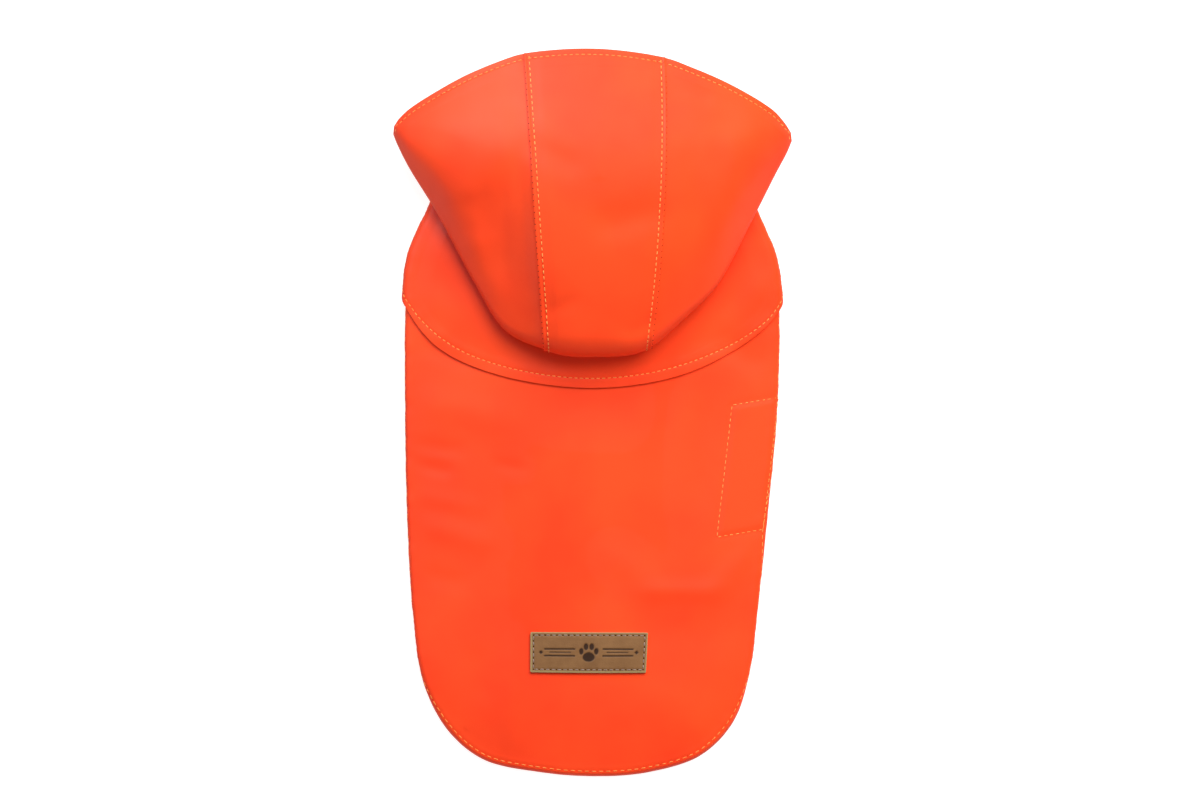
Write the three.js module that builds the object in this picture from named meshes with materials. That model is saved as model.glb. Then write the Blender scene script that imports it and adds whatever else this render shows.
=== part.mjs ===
// Dog raincoat with a three-piece hood and a shoulder cape, laid flat on its front, back up.
// Millimetres. X runs across the coat, Y from the tail to the head, Z up from the surface.
// Every cloth piece is a thin closed wall made from a grid of points on its outer face.

import * as THREE from 'three';

// ---- Driving dimensions ----

const WALL = 1.2; // cloth thickness
const GAP = 0.3; // clearance between two sewn pieces
const TAPE = 1.0; // thickness of the hook and loop tapes
const LEATHER = 1.6; // thickness of the label
const LAYER = WALL + GAP; // step from one cloth layer to the next

const BACK_CROWN = 9.0; // height of the back panel's middle
const SIDE_HEIGHT = 6.6; // height of the back panel where its side hems turn down
const TAIL_HEIGHT = 4.4; // the same at the tail
const TAIL_FROM = -128; // the side hem starts to change into the tail hem here
const TAIL_TO = -172; // and is the tail hem from here on
const CROWN_REACH = 52; // the panel rises to its crown over this width
const HEM_ROLL = 2.4; // radius of the turned-down hems
const TAIL_LEAN = 0.4; // how far the tail hem slopes out as it comes down
const HEM_LOWERING = 40; // the hem's lower edge comes down to the surface over this distance

const NECK_LEFT = -74.6; // ends of the neckline's back half
const NECK_RIGHT = 75.6;
const NECK_END_Y = 132;
const NAPE_DIP = 19; // how far the nape lies below the neckline's ends
const THROAT_DIP = 52; // the same for the chest panel's neckline

const SEAM_GORE = 3; // the hood's seams lie on this gore line, left and right
const TIP_GORE = 8; // the hood's front corners lie on this one
const LAP = 0.45; // width of the lap under the centre strip, in gore lines
const STRIP_CAMBER = 1.6; // crown across the centre strip
const STRIP_EASE = 0.2; // the centre strip's extra clearance over the bend of the side panels
const HOOD_CLEAR = 0.5; // the hood's underside stays this far over the cape at the neckline

const CHEST_BOTTOM_Y = 24; // lower edge of the chest panel
const CHEST_INSET = 1.0; // the chest panel and band end this far inside the back panel's hem

const BAND_Y = -28.5; // middle line of the belly band
const BAND_END_WIDTH = 74;
const BAND_WAIST_WIDTH = 58;
const BAND_RISE_FROM = 34; // the band leaves the surface here
const BAND_RISE_TO = 62; // and lies along the hook tape from here
const BAND_RIGHT = 88;
const BAND_FLAT_X = 90; // past this its height stays the same

const TAPE_SIZE = { width: 20, length: 68 };
const TAPE_PLACE = { x: 77.6, y: -28.5, turn: -0.12 };
const LABEL_SIZE = { width: 61, length: 21 };
const LABEL_PLACE = { x: -2.0, y: -125.2, turn: -0.004 };

// Line of the back panel's hem, from the left end of the neckline round the tail to the right end.
const HEM_LINE = [
  { x: NECK_LEFT, y: NECK_END_Y },
  { x: -83.6, y: 108 },
  { x: -94.3, y: 84 },
  { x: -97.5, y: 62 },
  { x: -98.1, y: 0 },
  { x: -97.0, y: -55 },
  { x: -94.0, y: -105 },
  { x: -88.3, y: -142 },
  { x: -75.5, y: -166.5 },
  { x: -57.0, y: -181.5 },
  { x: -28.0, y: -188 },
  { x: 0, y: -190.2 },
  { x: 28.0, y: -188.3 },
  { x: 56.5, y: -179.3 },
  { x: 73.5, y: -162 },
  { x: 81.8, y: -138 },
  { x: 87.0, y: -98 },
  { x: 92.0, y: -50 },
  { x: 96.6, y: 0 },
  { x: 97.5, y: 58 },
  { x: 94.0, y: 82 },
  { x: 84.0, y: 106 },
  { x: NECK_RIGHT, y: NECK_END_Y },
];
const TAIL_CORNERS = { left: 0.405, right: 0.6 }; // where the hem line turns, as shares of its length

// Free edge of the cape as it is cut. Where it passes the back panel's hem it turns down over it.
const CAPE_LINE = [
  { x: -80.0, y: 127 },
  { x: -87.0, y: 109.5 },
  { x: -97.3, y: 86 },
  { x: -101.0, y: 68 },
  { x: -96.5, y: 53.5 },
  { x: -80.4, y: 34 },
  { x: -49.5, y: 20 },
  { x: 0, y: 13.1 },
  { x: 46.8, y: 20 },
  { x: 82.4, y: 38.3 },
  { x: 96.8, y: 52.5 },
  { x: 101.0, y: 66 },
  { x: 97.4, y: 84 },
  { x: 87.6, y: 106.5 },
  { x: 81.0, y: 127 },
];
const CAPE_STAND = 1.0; // how far the cape stands off the hems that it turns down over

// Hood in plan. Each gore line starts on the face edge, bows sideways by up to its bow on its way to
// the fold that makes the outline, and returns underneath to the neckline.
const HOOD_PLAN = [
  { gore: -8, faceX: -103.7, faceY: 150.0, foldX: -104.2, foldY: 145.6, neckX: NECK_LEFT, bow: 0 },
  { gore: -7.6, faceX: -100.9, faceY: 154.0, foldX: -101.9, foldY: 139.9, neckX: -72.6, bow: 0 },
  { gore: -7, faceX: -94.8, faceY: 159.5, foldX: -95.6, foldY: 127.6, neckX: -69, bow: 0 },
  { gore: -6, faceX: -81.0, faceY: 168.2, foldX: -80.8, foldY: 103.5, neckX: -61, bow: 0 },
  { gore: -5, faceX: -66.0, faceY: 176.3, foldX: -62.3, foldY: 68.9, neckX: -51, bow: 0 },
  { gore: -4, faceX: -50.0, faceY: 183.0, foldX: -46.2, foldY: 43.6, neckX: -38, bow: 0 },
  { gore: -3, faceX: -35.8, faceY: 187.4, foldX: -25.6, foldY: 33.6, neckX: -25, bow: 0 },
  { gore: 0, faceX: 1.5, faceY: 189.7, foldX: 1.5, foldY: 30.4, neckX: 1.5, bow: 1.2 },
  { gore: 3, faceX: 38.0, faceY: 185.2, foldX: 31.0, foldY: 34.8, neckX: 27, bow: 3.4 },
  { gore: 4, faceX: 52.0, faceY: 180.2, foldX: 48.0, foldY: 49.3, neckX: 40, bow: 2.4 },
  { gore: 5, faceX: 68.0, faceY: 173.4, foldX: 66.0, foldY: 68.0, neckX: 52, bow: 1 },
  { gore: 6, faceX: 83.0, faceY: 165.5, foldX: 83.8, foldY: 101.5, neckX: 62, bow: 0 },
  { gore: 7, faceX: 94.6, faceY: 157.9, foldX: 95.5, foldY: 124.6, neckX: 70, bow: 0 },
  { gore: 7.6, faceX: 100.6, faceY: 151.3, foldX: 101.5, foldY: 135.8, neckX: 73.6, bow: 0 },
  { gore: 8, faceX: 103.6, faceY: 146.6, foldX: 104.2, foldY: 142.2, neckX: NECK_RIGHT, bow: 0 },
];

// Heights along a gore line at its face edge, one and two thirds of the way to the fold and at the
// fold, with the radii of the fold above and below and the clearance over the cape at the neckline.
// The left side has sunk further than the right.
const HOOD_LEFT = [
  { gore: 3, face: 36.5, upper: 50.5, lower: 47.5, fold: 31, rollTop: 8.5, rollUnder: 6.5, neckLift: 1.5 },
  { gore: 3.4, face: 36, upper: 49, lower: 43.5, fold: 27, rollTop: 6.4, rollUnder: 5.6, neckLift: 0.6 },
  { gore: 4, face: 34.5, upper: 47, lower: 39, fold: 23.5, rollTop: 4.5, rollUnder: 4.5, neckLift: 0 },
  { gore: 5, face: 31, upper: 41.5, lower: 37, fold: 21, rollTop: 3.5, rollUnder: 3.5, neckLift: 0 },
  { gore: 6, face: 27, upper: 34, lower: 33, fold: 19.5, rollTop: 3, rollUnder: 3, neckLift: 0 },
  { gore: 7, face: 22.5, upper: 26, lower: 26, fold: 18.5, rollTop: 2.8, rollUnder: 2.6, neckLift: 0 },
  { gore: 8, face: 18.5, upper: 19, lower: 18, fold: 17, rollTop: 2.6, rollUnder: 2.4, neckLift: 0 },
];
const HOOD_RIGHT = [
  { gore: 3, face: 36.5, upper: 50.5, lower: 47.5, fold: 31, rollTop: 8.5, rollUnder: 6.5, neckLift: 1.5 },
  { gore: 4, face: 36.5, upper: 47, lower: 44.5, fold: 28.5, rollTop: 5.5, rollUnder: 4.5, neckLift: 0 },
  { gore: 5, face: 34, upper: 42, lower: 40.5, fold: 25, rollTop: 3.5, rollUnder: 3.5, neckLift: 0 },
  { gore: 6, face: 30, upper: 36, lower: 34, fold: 22, rollTop: 3, rollUnder: 3, neckLift: 0 },
  { gore: 7, face: 24.5, upper: 28, lower: 26, fold: 20, rollTop: 2.8, rollUnder: 2.6, neckLift: 0 },
  { gore: 8, face: 18.5, upper: 19, lower: 18, fold: 17, rollTop: 2.6, rollUnder: 2.4, neckLift: 0 },
];
const NOSE = { fold: 34, rollTop: 10.5, rollUnder: 7.5 }; // the same at the middle of the rear edge

// Steps of the grids: more where the cloth bends.
const BACK_GRID = { across: 20, along: 24 };
const CAPE_GRID = { along: 48, across: 7 };
const CAPE_EDGE = { rows: 3, step: 1.6 }; // close rows along the free edge, where it turns down
const HOOD_STEPS = { run: 9, roll: 8, under: 4, strip: 8, side: 11 };
const CHEST_GRID = { along: 5, across: 12 };
const BAND_GRID = { across: 3, along: 22 };
const TAPE_GRID = { along: 8, across: 3 };
const LABEL_GRID = { along: 3, across: 8 };
const SAMPLES = 240; // places along the hem line that the nearest one is looked for in

// Colours of the cloth, tapes and leather.
const CLOTH = { color: 0xfb5a33, roughness: 0.55, metalness: 0 };
const HOOK_AND_LOOP = { color: 0xd9532e, roughness: 0.95, metalness: 0 };
const HIDE = { color: 0x93693f, roughness: 0.7, metalness: 0 };

// ---- Small helpers ----

const { clamp, lerp, smoothstep } = THREE.MathUtils;

/** Reads one column of a table at a key between its rows, on a smooth cubic through the rows. */
function readTable(table, keyName, key, column) {
  let row = 0;
  while (row < table.length - 2 && key > table[row + 1][keyName]) {
    row += 1;
  }
  const slopeAt = (at) => {
    const before = table[Math.max(at - 1, 0)];
    const after = table[Math.min(at + 1, table.length - 1)];
    return (after[column] - before[column]) / (after[keyName] - before[keyName]);
  };
  const from = table[row];
  const to = table[row + 1];
  const span = to[keyName] - from[keyName];
  const t = (key - from[keyName]) / span;
  const rise = to[column] - from[column];
  const startSlope = slopeAt(row) * span;
  const endSlope = slopeAt(row + 1) * span;
  const square = t * t * (3 - 2 * t);
  return from[column] + rise * square + startSlope * t * (1 - t) * (1 - t) - endSlope * t * t * (1 - t);
}

/** Makes a smooth plan curve through a table's x and y columns. */
function planCurve(table) {
  const points = table.map((row) => new THREE.Vector3(row.x, row.y, 0));
  const curve = new THREE.CatmullRomCurve3(points, false, 'centripetal');
  curve.arcLengthDivisions = 600;
  return curve;
}

const hemCurve = planCurve(HEM_LINE);
const capeCurve = planCurve(CAPE_LINE);
const hemSamples = hemCurve.getSpacedPoints(SAMPLES);
const hemLength = hemCurve.getLength();

/** Gives the point of a plan curve at a share of its length, moved in by a distance. */
function planPoint(curve, share, inset) {
  const point = curve.getPointAt(share);
  const along = curve.getTangentAt(share);
  return new THREE.Vector3(point.x - along.y * inset, point.y + along.x * inset, 0);
}

/** Finds the hem line's nearest point to a place: its share of the line, and how far in the place is. */
function nearestHem(x, y) {
  const gap = (at) => Math.hypot(hemSamples[at].x - x, hemSamples[at].y - y);
  let nearest = 0;
  for (let at = 1; at <= SAMPLES; at += 1) {
    nearest = gap(at) < gap(nearest) ? at : nearest;
  }
  const along = hemCurve.getTangentAt(nearest / SAMPLES);
  const away = { x: x - hemSamples[nearest].x, y: y - hemSamples[nearest].y };
  const slip = (away.x * along.x + away.y * along.y) / hemLength;
  const share = clamp(nearest / SAMPLES + slip, 0, 1);
  return { share, distance: away.y * along.x - away.x * along.y };
}

/** Gives the hem line's x at a given y, on the left side (-1) or the right side (1). */
function hemX(y, side) {
  const half = hemSamples.filter((sample) => sample.x * side > 0);
  let best = half[0];
  for (const sample of half) {
    if (Math.abs(sample.y - y) < Math.abs(best.y - y)) {
      best = sample;
    }
  }
  const next = half[Math.min(half.indexOf(best) + 1, half.length - 1)];
  const previous = half[Math.max(half.indexOf(best) - 1, 0)];
  const other = (next.y - y) * (best.y - y) <= 0 ? next : previous;
  const t = other.y === best.y ? 0 : (y - best.y) / (other.y - best.y);
  return lerp(best.x, other.x, t);
}

/** Gives the neckline's y at a given x, for the back half or, with a deeper dip, the front half. */
function neckY(x, dip) {
  const middle = (NECK_LEFT + NECK_RIGHT) / 2;
  const reach = (NECK_RIGHT - NECK_LEFT) / 2;
  const out = clamp((x - middle) / reach, -1, 1);
  return NECK_END_Y - dip * (1 - out * out);
}

/** Says how far a place's hem is the tail's: 0 on the sides, 1 at the tail. */
const tailShare = (y) => 1 - smoothstep(y, TAIL_TO, TAIL_FROM);

/** Gives the height of the back panel's face just inside its turned-down hem. */
const edgeHeight = (y) => lerp(SIDE_HEIGHT, TAIL_HEIGHT, tailShare(y));

/** Gives the height of the back panel's outer face over a place in plan. */
function backHeight(x, y) {
  const inward = clamp(nearestHem(x, y).distance / CROWN_REACH, 0, 1);
  const rise = 1 - (1 - inward) * (1 - inward);
  return lerp(edgeHeight(y), BACK_CROWN, rise);
}

/** Lists the triangles of a grid's outer face, which looks along rows crossed with columns. */
function gridFaces(rows, columns) {
  const faces = [];
  for (let i = 0; i < rows - 1; i += 1) {
    for (let j = 0; j < columns - 1; j += 1) {
      const corner = i * columns + j;
      faces.push([corner, corner + columns, corner + columns + 1]);
      faces.push([corner, corner + columns + 1, corner + 1]);
    }
  }
  return faces;
}

/** Lists the edges round a grid, in the order in which its outer faces run. */
function gridRim(rows, columns) {
  const at = (i, j) => i * columns + j;
  const rim = [];
  for (let i = 0; i < rows - 1; i += 1) {
    rim.push([at(i, 0), at(i + 1, 0)]);
    rim.push([at(i + 1, columns - 1), at(i, columns - 1)]);
  }
  for (let j = 0; j < columns - 1; j += 1) {
    rim.push([at(rows - 1, j), at(rows - 1, j + 1)]);
    rim.push([at(0, j + 1), at(0, j)]);
  }
  return rim;
}

/** Makes an indexed geometry from points and triangles. */
function meshGeometry(points, faces) {
  const geometry = new THREE.BufferGeometry();
  const position = points.flatMap((point) => point.toArray());
  geometry.setAttribute('position', new THREE.Float32BufferAttribute(position, 3));
  geometry.setIndex(faces.flat());
  geometry.computeVertexNormals();
  return geometry;
}

/** Moves a grid of points out along its normals, and never below a floor. */
function moveOut(points, lift, floor = -Infinity) {
  const columns = points[0].length;
  const { normal } = meshGeometry(points.flat(), gridFaces(points.length, columns)).attributes;
  return points.map((line, i) => line.map((here, j) => {
    const out = new THREE.Vector3().fromBufferAttribute(normal, i * columns + j);
    const moved = here.clone().addScaledVector(out, lift);
    moved.z = Math.max(moved.z, floor);
    return moved;
  }));
}

/** Closes a grid of outer points into a wall of a given thickness. */
function wallGeometry(points, thickness) {
  const rows = points.length;
  const columns = points[0].length;
  const count = rows * columns;
  const outer = gridFaces(rows, columns);
  const inner = outer.map(([a, b, c]) => [c + count, b + count, a + count]);
  const rim = gridRim(rows, columns).flatMap(([a, b]) => [
    [b, a, a + count],
    [b, a + count, b + count],
  ]);
  const under = moveOut(points, -thickness, 0);
  return meshGeometry([...points.flat(), ...under.flat()], [...outer, ...inner, ...rim]);
}

/** Fills a grid from a function of two shares between 0 and 1. */
function gridOf(rows, columns, pointAt) {
  return Array.from({ length: rows + 1 }, (_, i) => (
    Array.from({ length: columns + 1 }, (__, j) => pointAt(i / rows, j / columns))
  ));
}

/** Makes a named mesh with its own material. */
function piece(name, geometry, finish) {
  const mesh = new THREE.Mesh(geometry, new THREE.MeshStandardMaterial(finish));
  mesh.name = name;
  return mesh;
}

// ---- Back panel ----

// Rings of the turned-down hem, from its cut edge up to the flat cloth: how far in from the outline
// and how far down the roll, both as shares of the roll's radius.
const HEM_RINGS = [
  { inset: 0, drop: null },
  { inset: 0, drop: 1 },
  { inset: 0.293, drop: 0.293 },
  { inset: 1, drop: 0 },
];

/** Gives a point of one of the hem's rings. */
function hemRingPoint(share, ring) {
  const rim = planPoint(hemCurve, share, 0);
  const tail = tailShare(rim.y);
  const { inset, drop } = HEM_RINGS[ring];
  const lean = ring === 0 ? 0 : TAIL_LEAN * tail;
  const point = planPoint(hemCurve, share, inset * HEM_ROLL + lean);
  const low = LAYER * smoothstep(rim.y, TAIL_FROM, TAIL_FROM + HEM_LOWERING);
  point.z = drop === null ? low : edgeHeight(rim.y) - drop * HEM_ROLL;
  return point;
}

/** Gives a point of the back panel's grid, whose outer rings are the hem's. */
function backPoint(i, j) {
  const { across, along } = BACK_GRID;
  const depth = Math.min(i, across - i, along - j);
  const ring = Math.min(depth, HEM_RINGS.length - 1);
  const { left, right } = TAIL_CORNERS;
  const down = (step) => step / (along - ring);
  const sideShare = (side, step) => (side < 0 ? left * down(step) : 1 - (1 - right) * down(step));
  const tailAt = (step) => lerp(left, right, (step - ring) / (across - 2 * ring));
  if (depth < HEM_RINGS.length) {
    if (i === ring) {
      return hemRingPoint(sideShare(-1, j), ring);
    }
    if (across - i === ring) {
      return hemRingPoint(sideShare(1, j), ring);
    }
    return hemRingPoint(tailAt(i), ring);
  }
  const u = (i - ring) / (across - 2 * ring);
  const v = j / (along - ring);
  const edge = {
    west: hemRingPoint(sideShare(-1, j), ring),
    east: hemRingPoint(sideShare(1, j), ring),
    south: hemRingPoint(tailAt(i), ring),
    northWest: hemRingPoint(0, ring),
    northEast: hemRingPoint(1, ring),
    southWest: hemRingPoint(left, ring),
    southEast: hemRingPoint(right, ring),
  };
  const northX = lerp(edge.northWest.x, edge.northEast.x, u);
  const north = { x: northX, y: neckY(northX, NAPE_DIP) };
  const blend = (axis) => lerp(edge.west[axis], edge.east[axis], u)
    + lerp(north[axis], edge.south[axis], v)
    - lerp(
      lerp(edge.northWest[axis], edge.northEast[axis], u),
      lerp(edge.southWest[axis], edge.southEast[axis], u),
      v,
    );
  const x = blend('x');
  const y = blend('y');
  return new THREE.Vector3(x, y, backHeight(x, y));
}

/** Makes the back panel, from the neckline to the rounded tail. */
function makeBackPanel() {
  const { across, along } = BACK_GRID;
  const points = Array.from({ length: along + 1 }, (_, j) => (
    Array.from({ length: across + 1 }, (__, i) => backPoint(i, j))
  ));
  return piece('back_panel', wallGeometry(points, WALL), CLOTH);
}

// ---- Shoulder cape ----

/** Lays a place of a flat sheet on the back panel, round the roll of its hem where it passes it. */
function pointOverBack(x, y, stand) {
  const { share, distance } = nearestHem(x, y);
  const beyond = HEM_ROLL - stand - distance;
  if (beyond <= 0) {
    return new THREE.Vector3(x, y, backHeight(x, y));
  }
  const turn = Math.min(beyond / HEM_ROLL, Math.PI / 2);
  const down = beyond - turn * HEM_ROLL;
  const inset = HEM_ROLL - stand - HEM_ROLL * Math.sin(turn);
  const point = planPoint(hemCurve, share, inset);
  point.z = edgeHeight(point.y) - HEM_ROLL * (1 - Math.cos(turn)) - down;
  return point;
}

/** Makes the shoulder cape, a crescent from the neckline to its free edge. */
function makeShoulderCape() {
  const { along, across } = CAPE_GRID;
  const { rows, step } = CAPE_EDGE;
  const points = gridOf(across, along, (v, u) => {
    const fromEdge = Math.round((1 - v) * across);
    const edge = planPoint(capeCurve, u, Math.min(fromEdge, rows) * step);
    const neckX = lerp(NECK_LEFT, NECK_RIGHT, u);
    const neck = new THREE.Vector3(neckX, neckY(neckX, NAPE_DIP), 0);
    const place = edge.lerp(neck, Math.max(fromEdge - rows, 0) / (across - rows));
    return pointOverBack(place.x, place.y, CAPE_STAND);
  });
  return piece('shoulder_cape', wallGeometry(moveOut(points, LAYER), WALL), CLOTH);
}

// ---- Hood ----

/** Reads the hood's plan on a gore line. */
const planAt = (gore, column) => readTable(HOOD_PLAN, 'gore', gore, column);

/** Reads the hood's heights on a gore line, which are level across the centre strip. */
function heightAt(gore, column) {
  const out = Math.abs(gore);
  const table = gore < 0 ? HOOD_LEFT : HOOD_RIGHT;
  const atSeam = readTable(table, 'gore', Math.max(out, SEAM_GORE), column);
  const inward = Math.max(1 - (out / SEAM_GORE) ** 2, 0);
  const middle = column in NOSE ? NOSE[column] : atSeam + STRIP_CAMBER;
  return lerp(atSeam, middle, inward);
}

/** Gives a point of the hood on a gore line: run 0 to 1 on top, 1 to 2 round the fold, 2 to 3 under. */
function hoodPoint(gore, run) {
  const plan = (column) => planAt(gore, column);
  const height = (column) => heightAt(gore, column);
  const face = new THREE.Vector2(plan('faceX'), plan('faceY'));
  const fold = new THREE.Vector2(plan('foldX'), plan('foldY'));
  const neck = new THREE.Vector2(plan('neckX'), neckY(plan('neckX'), NAPE_DIP));
  const turn = clamp(run - 1, 0, 1) * Math.PI;
  const onTop = turn <= Math.PI / 2;
  const radius = height(onTop ? 'rollTop' : 'rollUnder');
  const flat = fold.distanceTo(onTop ? face : neck);
  const pastRoll = onTop ? 1 - Math.min(run, 1) : Math.max(run - 2, 0);
  const inward = radius * (1 - Math.sin(turn)) + (flat - radius) * pastRoll;
  const place = fold.clone().lerp(onTop ? face : neck, inward / flat);
  const drop = radius * (1 - Math.abs(Math.cos(turn)));
  if (onTop) {
    const along = 1 - inward / flat;
    const line = ['face', 'upper', 'lower', 'fold'].map((column, step) => ({ step, z: height(column) }));
    const bow = plan('bow') * 4 * along * (1 - along);
    return new THREE.Vector3(place.x + bow, place.y, readTable(line, 'step', 3 * along, 'z') - drop);
  }
  const foldUnder = height('fold') - height('rollTop') - radius;
  const atNeck = backHeight(neck.x, neck.y) + LAYER + HOOD_CLEAR + height('neckLift');
  const low = lerp(foldUnder, atNeck, inward / flat);
  return new THREE.Vector3(place.x, place.y, low + drop);
}

/** Gives the runs at which the hood's grid has a point. */
function hoodRuns() {
  const { run, roll, under } = HOOD_STEPS;
  const steps = (from, count) => Array.from({ length: count }, (_, i) => from + i / count);
  return [...steps(0, run), ...steps(1, roll), ...steps(2, under), 3];
}

/** Makes one panel of the hood between two gore lines, at a height over the hood's surface. */
function makeHoodPanel(name, fromGore, toGore, steps, lift) {
  const points = hoodRuns().map((run) => (
    Array.from({ length: steps + 1 }, (_, i) => hoodPoint(lerp(fromGore, toGore, i / steps), run))
  ));
  return piece(name, wallGeometry(moveOut(points, lift), WALL), CLOTH);
}

// ---- Pieces under the coat ----

/** Makes the chest panel, flat on the surface from the throat to the belly. */
function makeChestPanel() {
  const points = gridOf(CHEST_GRID.along, CHEST_GRID.across, (v, u) => {
    const top = neckY(lerp(NECK_LEFT, NECK_RIGHT, u), THROAT_DIP);
    const y = lerp(top, CHEST_BOTTOM_Y, v);
    const x = lerp(hemX(y, -1) + CHEST_INSET, hemX(y, 1) - CHEST_INSET, u);
    return new THREE.Vector3(x, y, WALL);
  });
  return piece('chest_panel', wallGeometry(points, WALL), CLOTH);
}

/** Makes the belly band, flat on the surface and up along the hook tape at its right end. */
function makeBellyBand() {
  const left = hemX(BAND_Y, -1) + CHEST_INSET;
  const points = gridOf(BAND_GRID.across, BAND_GRID.along, (v, u) => {
    const x = lerp(left, BAND_RIGHT, u);
    const waist = Math.sin(Math.PI * u) ** 2;
    const y = BAND_Y + lerp(BAND_END_WIDTH, BAND_WAIST_WIDTH, waist) * (0.5 - v);
    const rise = smoothstep(x, BAND_RISE_FROM, BAND_RISE_TO);
    const top = backHeight(Math.min(x, BAND_FLAT_X), y) - WALL - 2 * TAPE - 3 * GAP;
    return new THREE.Vector3(x, y, Math.max(lerp(WALL, top, rise), WALL));
  });
  return piece('belly_band', wallGeometry(points, WALL), CLOTH);
}

/** Makes a rectangle that follows the back panel, at a height over its outer face. */
function rectangleOverBack(size, place, lift, steps) {
  const cosine = Math.cos(place.turn);
  const sine = Math.sin(place.turn);
  return gridOf(steps.along, steps.across, (v, u) => {
    const right = (u - 0.5) * size.width;
    const up = (0.5 - v) * size.length;
    const x = place.x + right * cosine - up * sine;
    const y = place.y + right * sine + up * cosine;
    return new THREE.Vector3(x, y, backHeight(x, y) + lift);
  });
}

/** Makes one of the tapes, a number of layers below the back panel. */
function makeTape(name, below) {
  const points = rectangleOverBack(TAPE_SIZE, TAPE_PLACE, -below, TAPE_GRID);
  return piece(name, wallGeometry(points, TAPE), HOOK_AND_LOOP);
}

/** Makes the label, which lies on the back panel near its tail. */
function makeLabel() {
  const points = rectangleOverBack(LABEL_SIZE, LABEL_PLACE, GAP + LEATHER, LABEL_GRID);
  return piece('label', wallGeometry(points, LEATHER), HIDE);
}

// ---- The coat ----

const coat = new THREE.Group();
coat.add(makeBackPanel());
coat.add(makeShoulderCape());
coat.add(makeHoodPanel('hood_centre', -SEAM_GORE, SEAM_GORE, HOOD_STEPS.strip, LAYER + STRIP_EASE));
coat.add(makeHoodPanel('hood_left', -TIP_GORE, LAP - SEAM_GORE, HOOD_STEPS.side, 0));
coat.add(makeHoodPanel('hood_right', SEAM_GORE - LAP, TIP_GORE, HOOD_STEPS.side, 0));
coat.add(makeChestPanel());
coat.add(makeBellyBand());
coat.add(makeTape('loop_tape', LAYER));
coat.add(makeTape('hook_tape', LAYER + TAPE + GAP));
coat.add(makeLabel());

export default coat;
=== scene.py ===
"""Dresses the frame of a small dog's raincoat, laid flat with its back up.

Forms are worked out in millimetres and become metres where a mesh is made. X runs across the coat,
Y from the tail to the head and Z up from the surface that it lies on.
"""

import logging
import math
from collections.abc import Callable, Sequence
from dataclasses import dataclass, field
from enum import Enum

import bpy
import numpy as np
from bpy.types import Material, Node, NodeSocket, NodeTree, Object
from mathutils import Matrix, Vector
from mathutils.kdtree import KDTree


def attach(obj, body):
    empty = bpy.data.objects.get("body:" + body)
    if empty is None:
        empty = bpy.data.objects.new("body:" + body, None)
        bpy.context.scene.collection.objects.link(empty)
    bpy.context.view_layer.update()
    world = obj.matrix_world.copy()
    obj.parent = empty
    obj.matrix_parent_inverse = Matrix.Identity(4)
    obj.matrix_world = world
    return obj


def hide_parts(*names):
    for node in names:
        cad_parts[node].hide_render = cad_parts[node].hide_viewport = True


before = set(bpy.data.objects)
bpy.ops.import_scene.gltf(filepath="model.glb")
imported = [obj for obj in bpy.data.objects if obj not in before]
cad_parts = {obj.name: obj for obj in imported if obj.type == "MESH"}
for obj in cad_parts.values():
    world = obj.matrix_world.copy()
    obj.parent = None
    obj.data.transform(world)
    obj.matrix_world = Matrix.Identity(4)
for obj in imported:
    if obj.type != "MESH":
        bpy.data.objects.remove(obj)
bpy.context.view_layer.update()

MM = 0.001
BODY = "root"
LOG = logging.getLogger("raincoat")

CLOTH = 0.75  # thickness of one layer of the coated cloth
HEM_CLOTH = 1.15  # thickness where the cloth is turned under and sewn
WALL = 1.2  # thickness of the frame's stiff cloth walls
LAYER = 1.5  # step from one cloth's outer face to that of the cloth on it
TAPE = 1.0  # thickness of the hook tape and of the loop tape
GAP = 0.3  # room left between pieces that lie on each other
FAR = 99.0  # stands for the distance to an edge that is nowhere near

# Distances in from a hem's edge of the rows of points across it, close together along the stitches
HEM_RUNS = np.array(
    (0, 0.5, 1.1, 1.8, 2.5, 3.1, 3.6, 4.0, 4.4, 4.8, 5.2, 5.7, 6.4, 7.4, 8.3, 8.7, 9.6, 11.2)
)
HEM_WIDTH = float(HEM_RUNS[-1])
HEM_TURN = 8.5  # how far a hem's cloth is turned under
HEM_TURN_SOFT = 0.6  # half the width of the step where the turned cloth ends
HEM_STEP = 0.08  # height of that step
HEM_PAD = 0.05  # how far the turned cloth pads the hem out
HEM_DRAWN = 0.13  # how far the thread draws the cloth in
HEM_GROOVE = 0.5  # half width of the groove along the thread
HEM_WAVES = (9.0, 13.7, 23.0)  # lengths of the puckers along the stitches
HEM_WAVE_REACH = 5.0  # how far the puckers reach from the stitches

ROW_ENDS = (0.004, 0.996)  # shares of an edge where its row of stitches starts and ends
ALONG_STEP = 1e-3  # share of an edge that is stepped over to find how the cloth faces

WAVE_BANDS = 6.2  # light and dark bands to a unit in a wave texture of scale 1
MIX_SHARE, MIX_FIRST, MIX_SECOND, MIX_RESULT = 0, 6, 7, 2  # sockets of a colour mix

Array = np.ndarray
Pair = tuple[float, float]
Triple = tuple[float, float, float]
Quad = tuple[float, float, float, float]
Layers = tuple[Material, Material, Material]  # of a sheet's face, rim and back


class Slot(Enum):
    """The material slots of the coat's record."""

    CLOTH = "coated_cloth"
    TAPE = "hook_and_loop"
    LEATHER = "label_leather"


class Held(Enum):
    """How a sheet of cloth lies."""

    LAID = "laid"
    FOLDED = "folded"


# ---- Arithmetic on arrays ----


def mix(start: Array | float, end: Array | float, share: Array | float) -> Array:
    """Gives the value a share of the way from start to end."""
    return start + (end - start) * share


def ease(value: Array | float, start: float, end: float) -> Array:
    """Rises smoothly from 0 at start to 1 at end."""
    share = np.clip((np.asarray(value, float) - start) / (end - start), 0.0, 1.0)
    return share * share * (3.0 - 2.0 * share)


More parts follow.
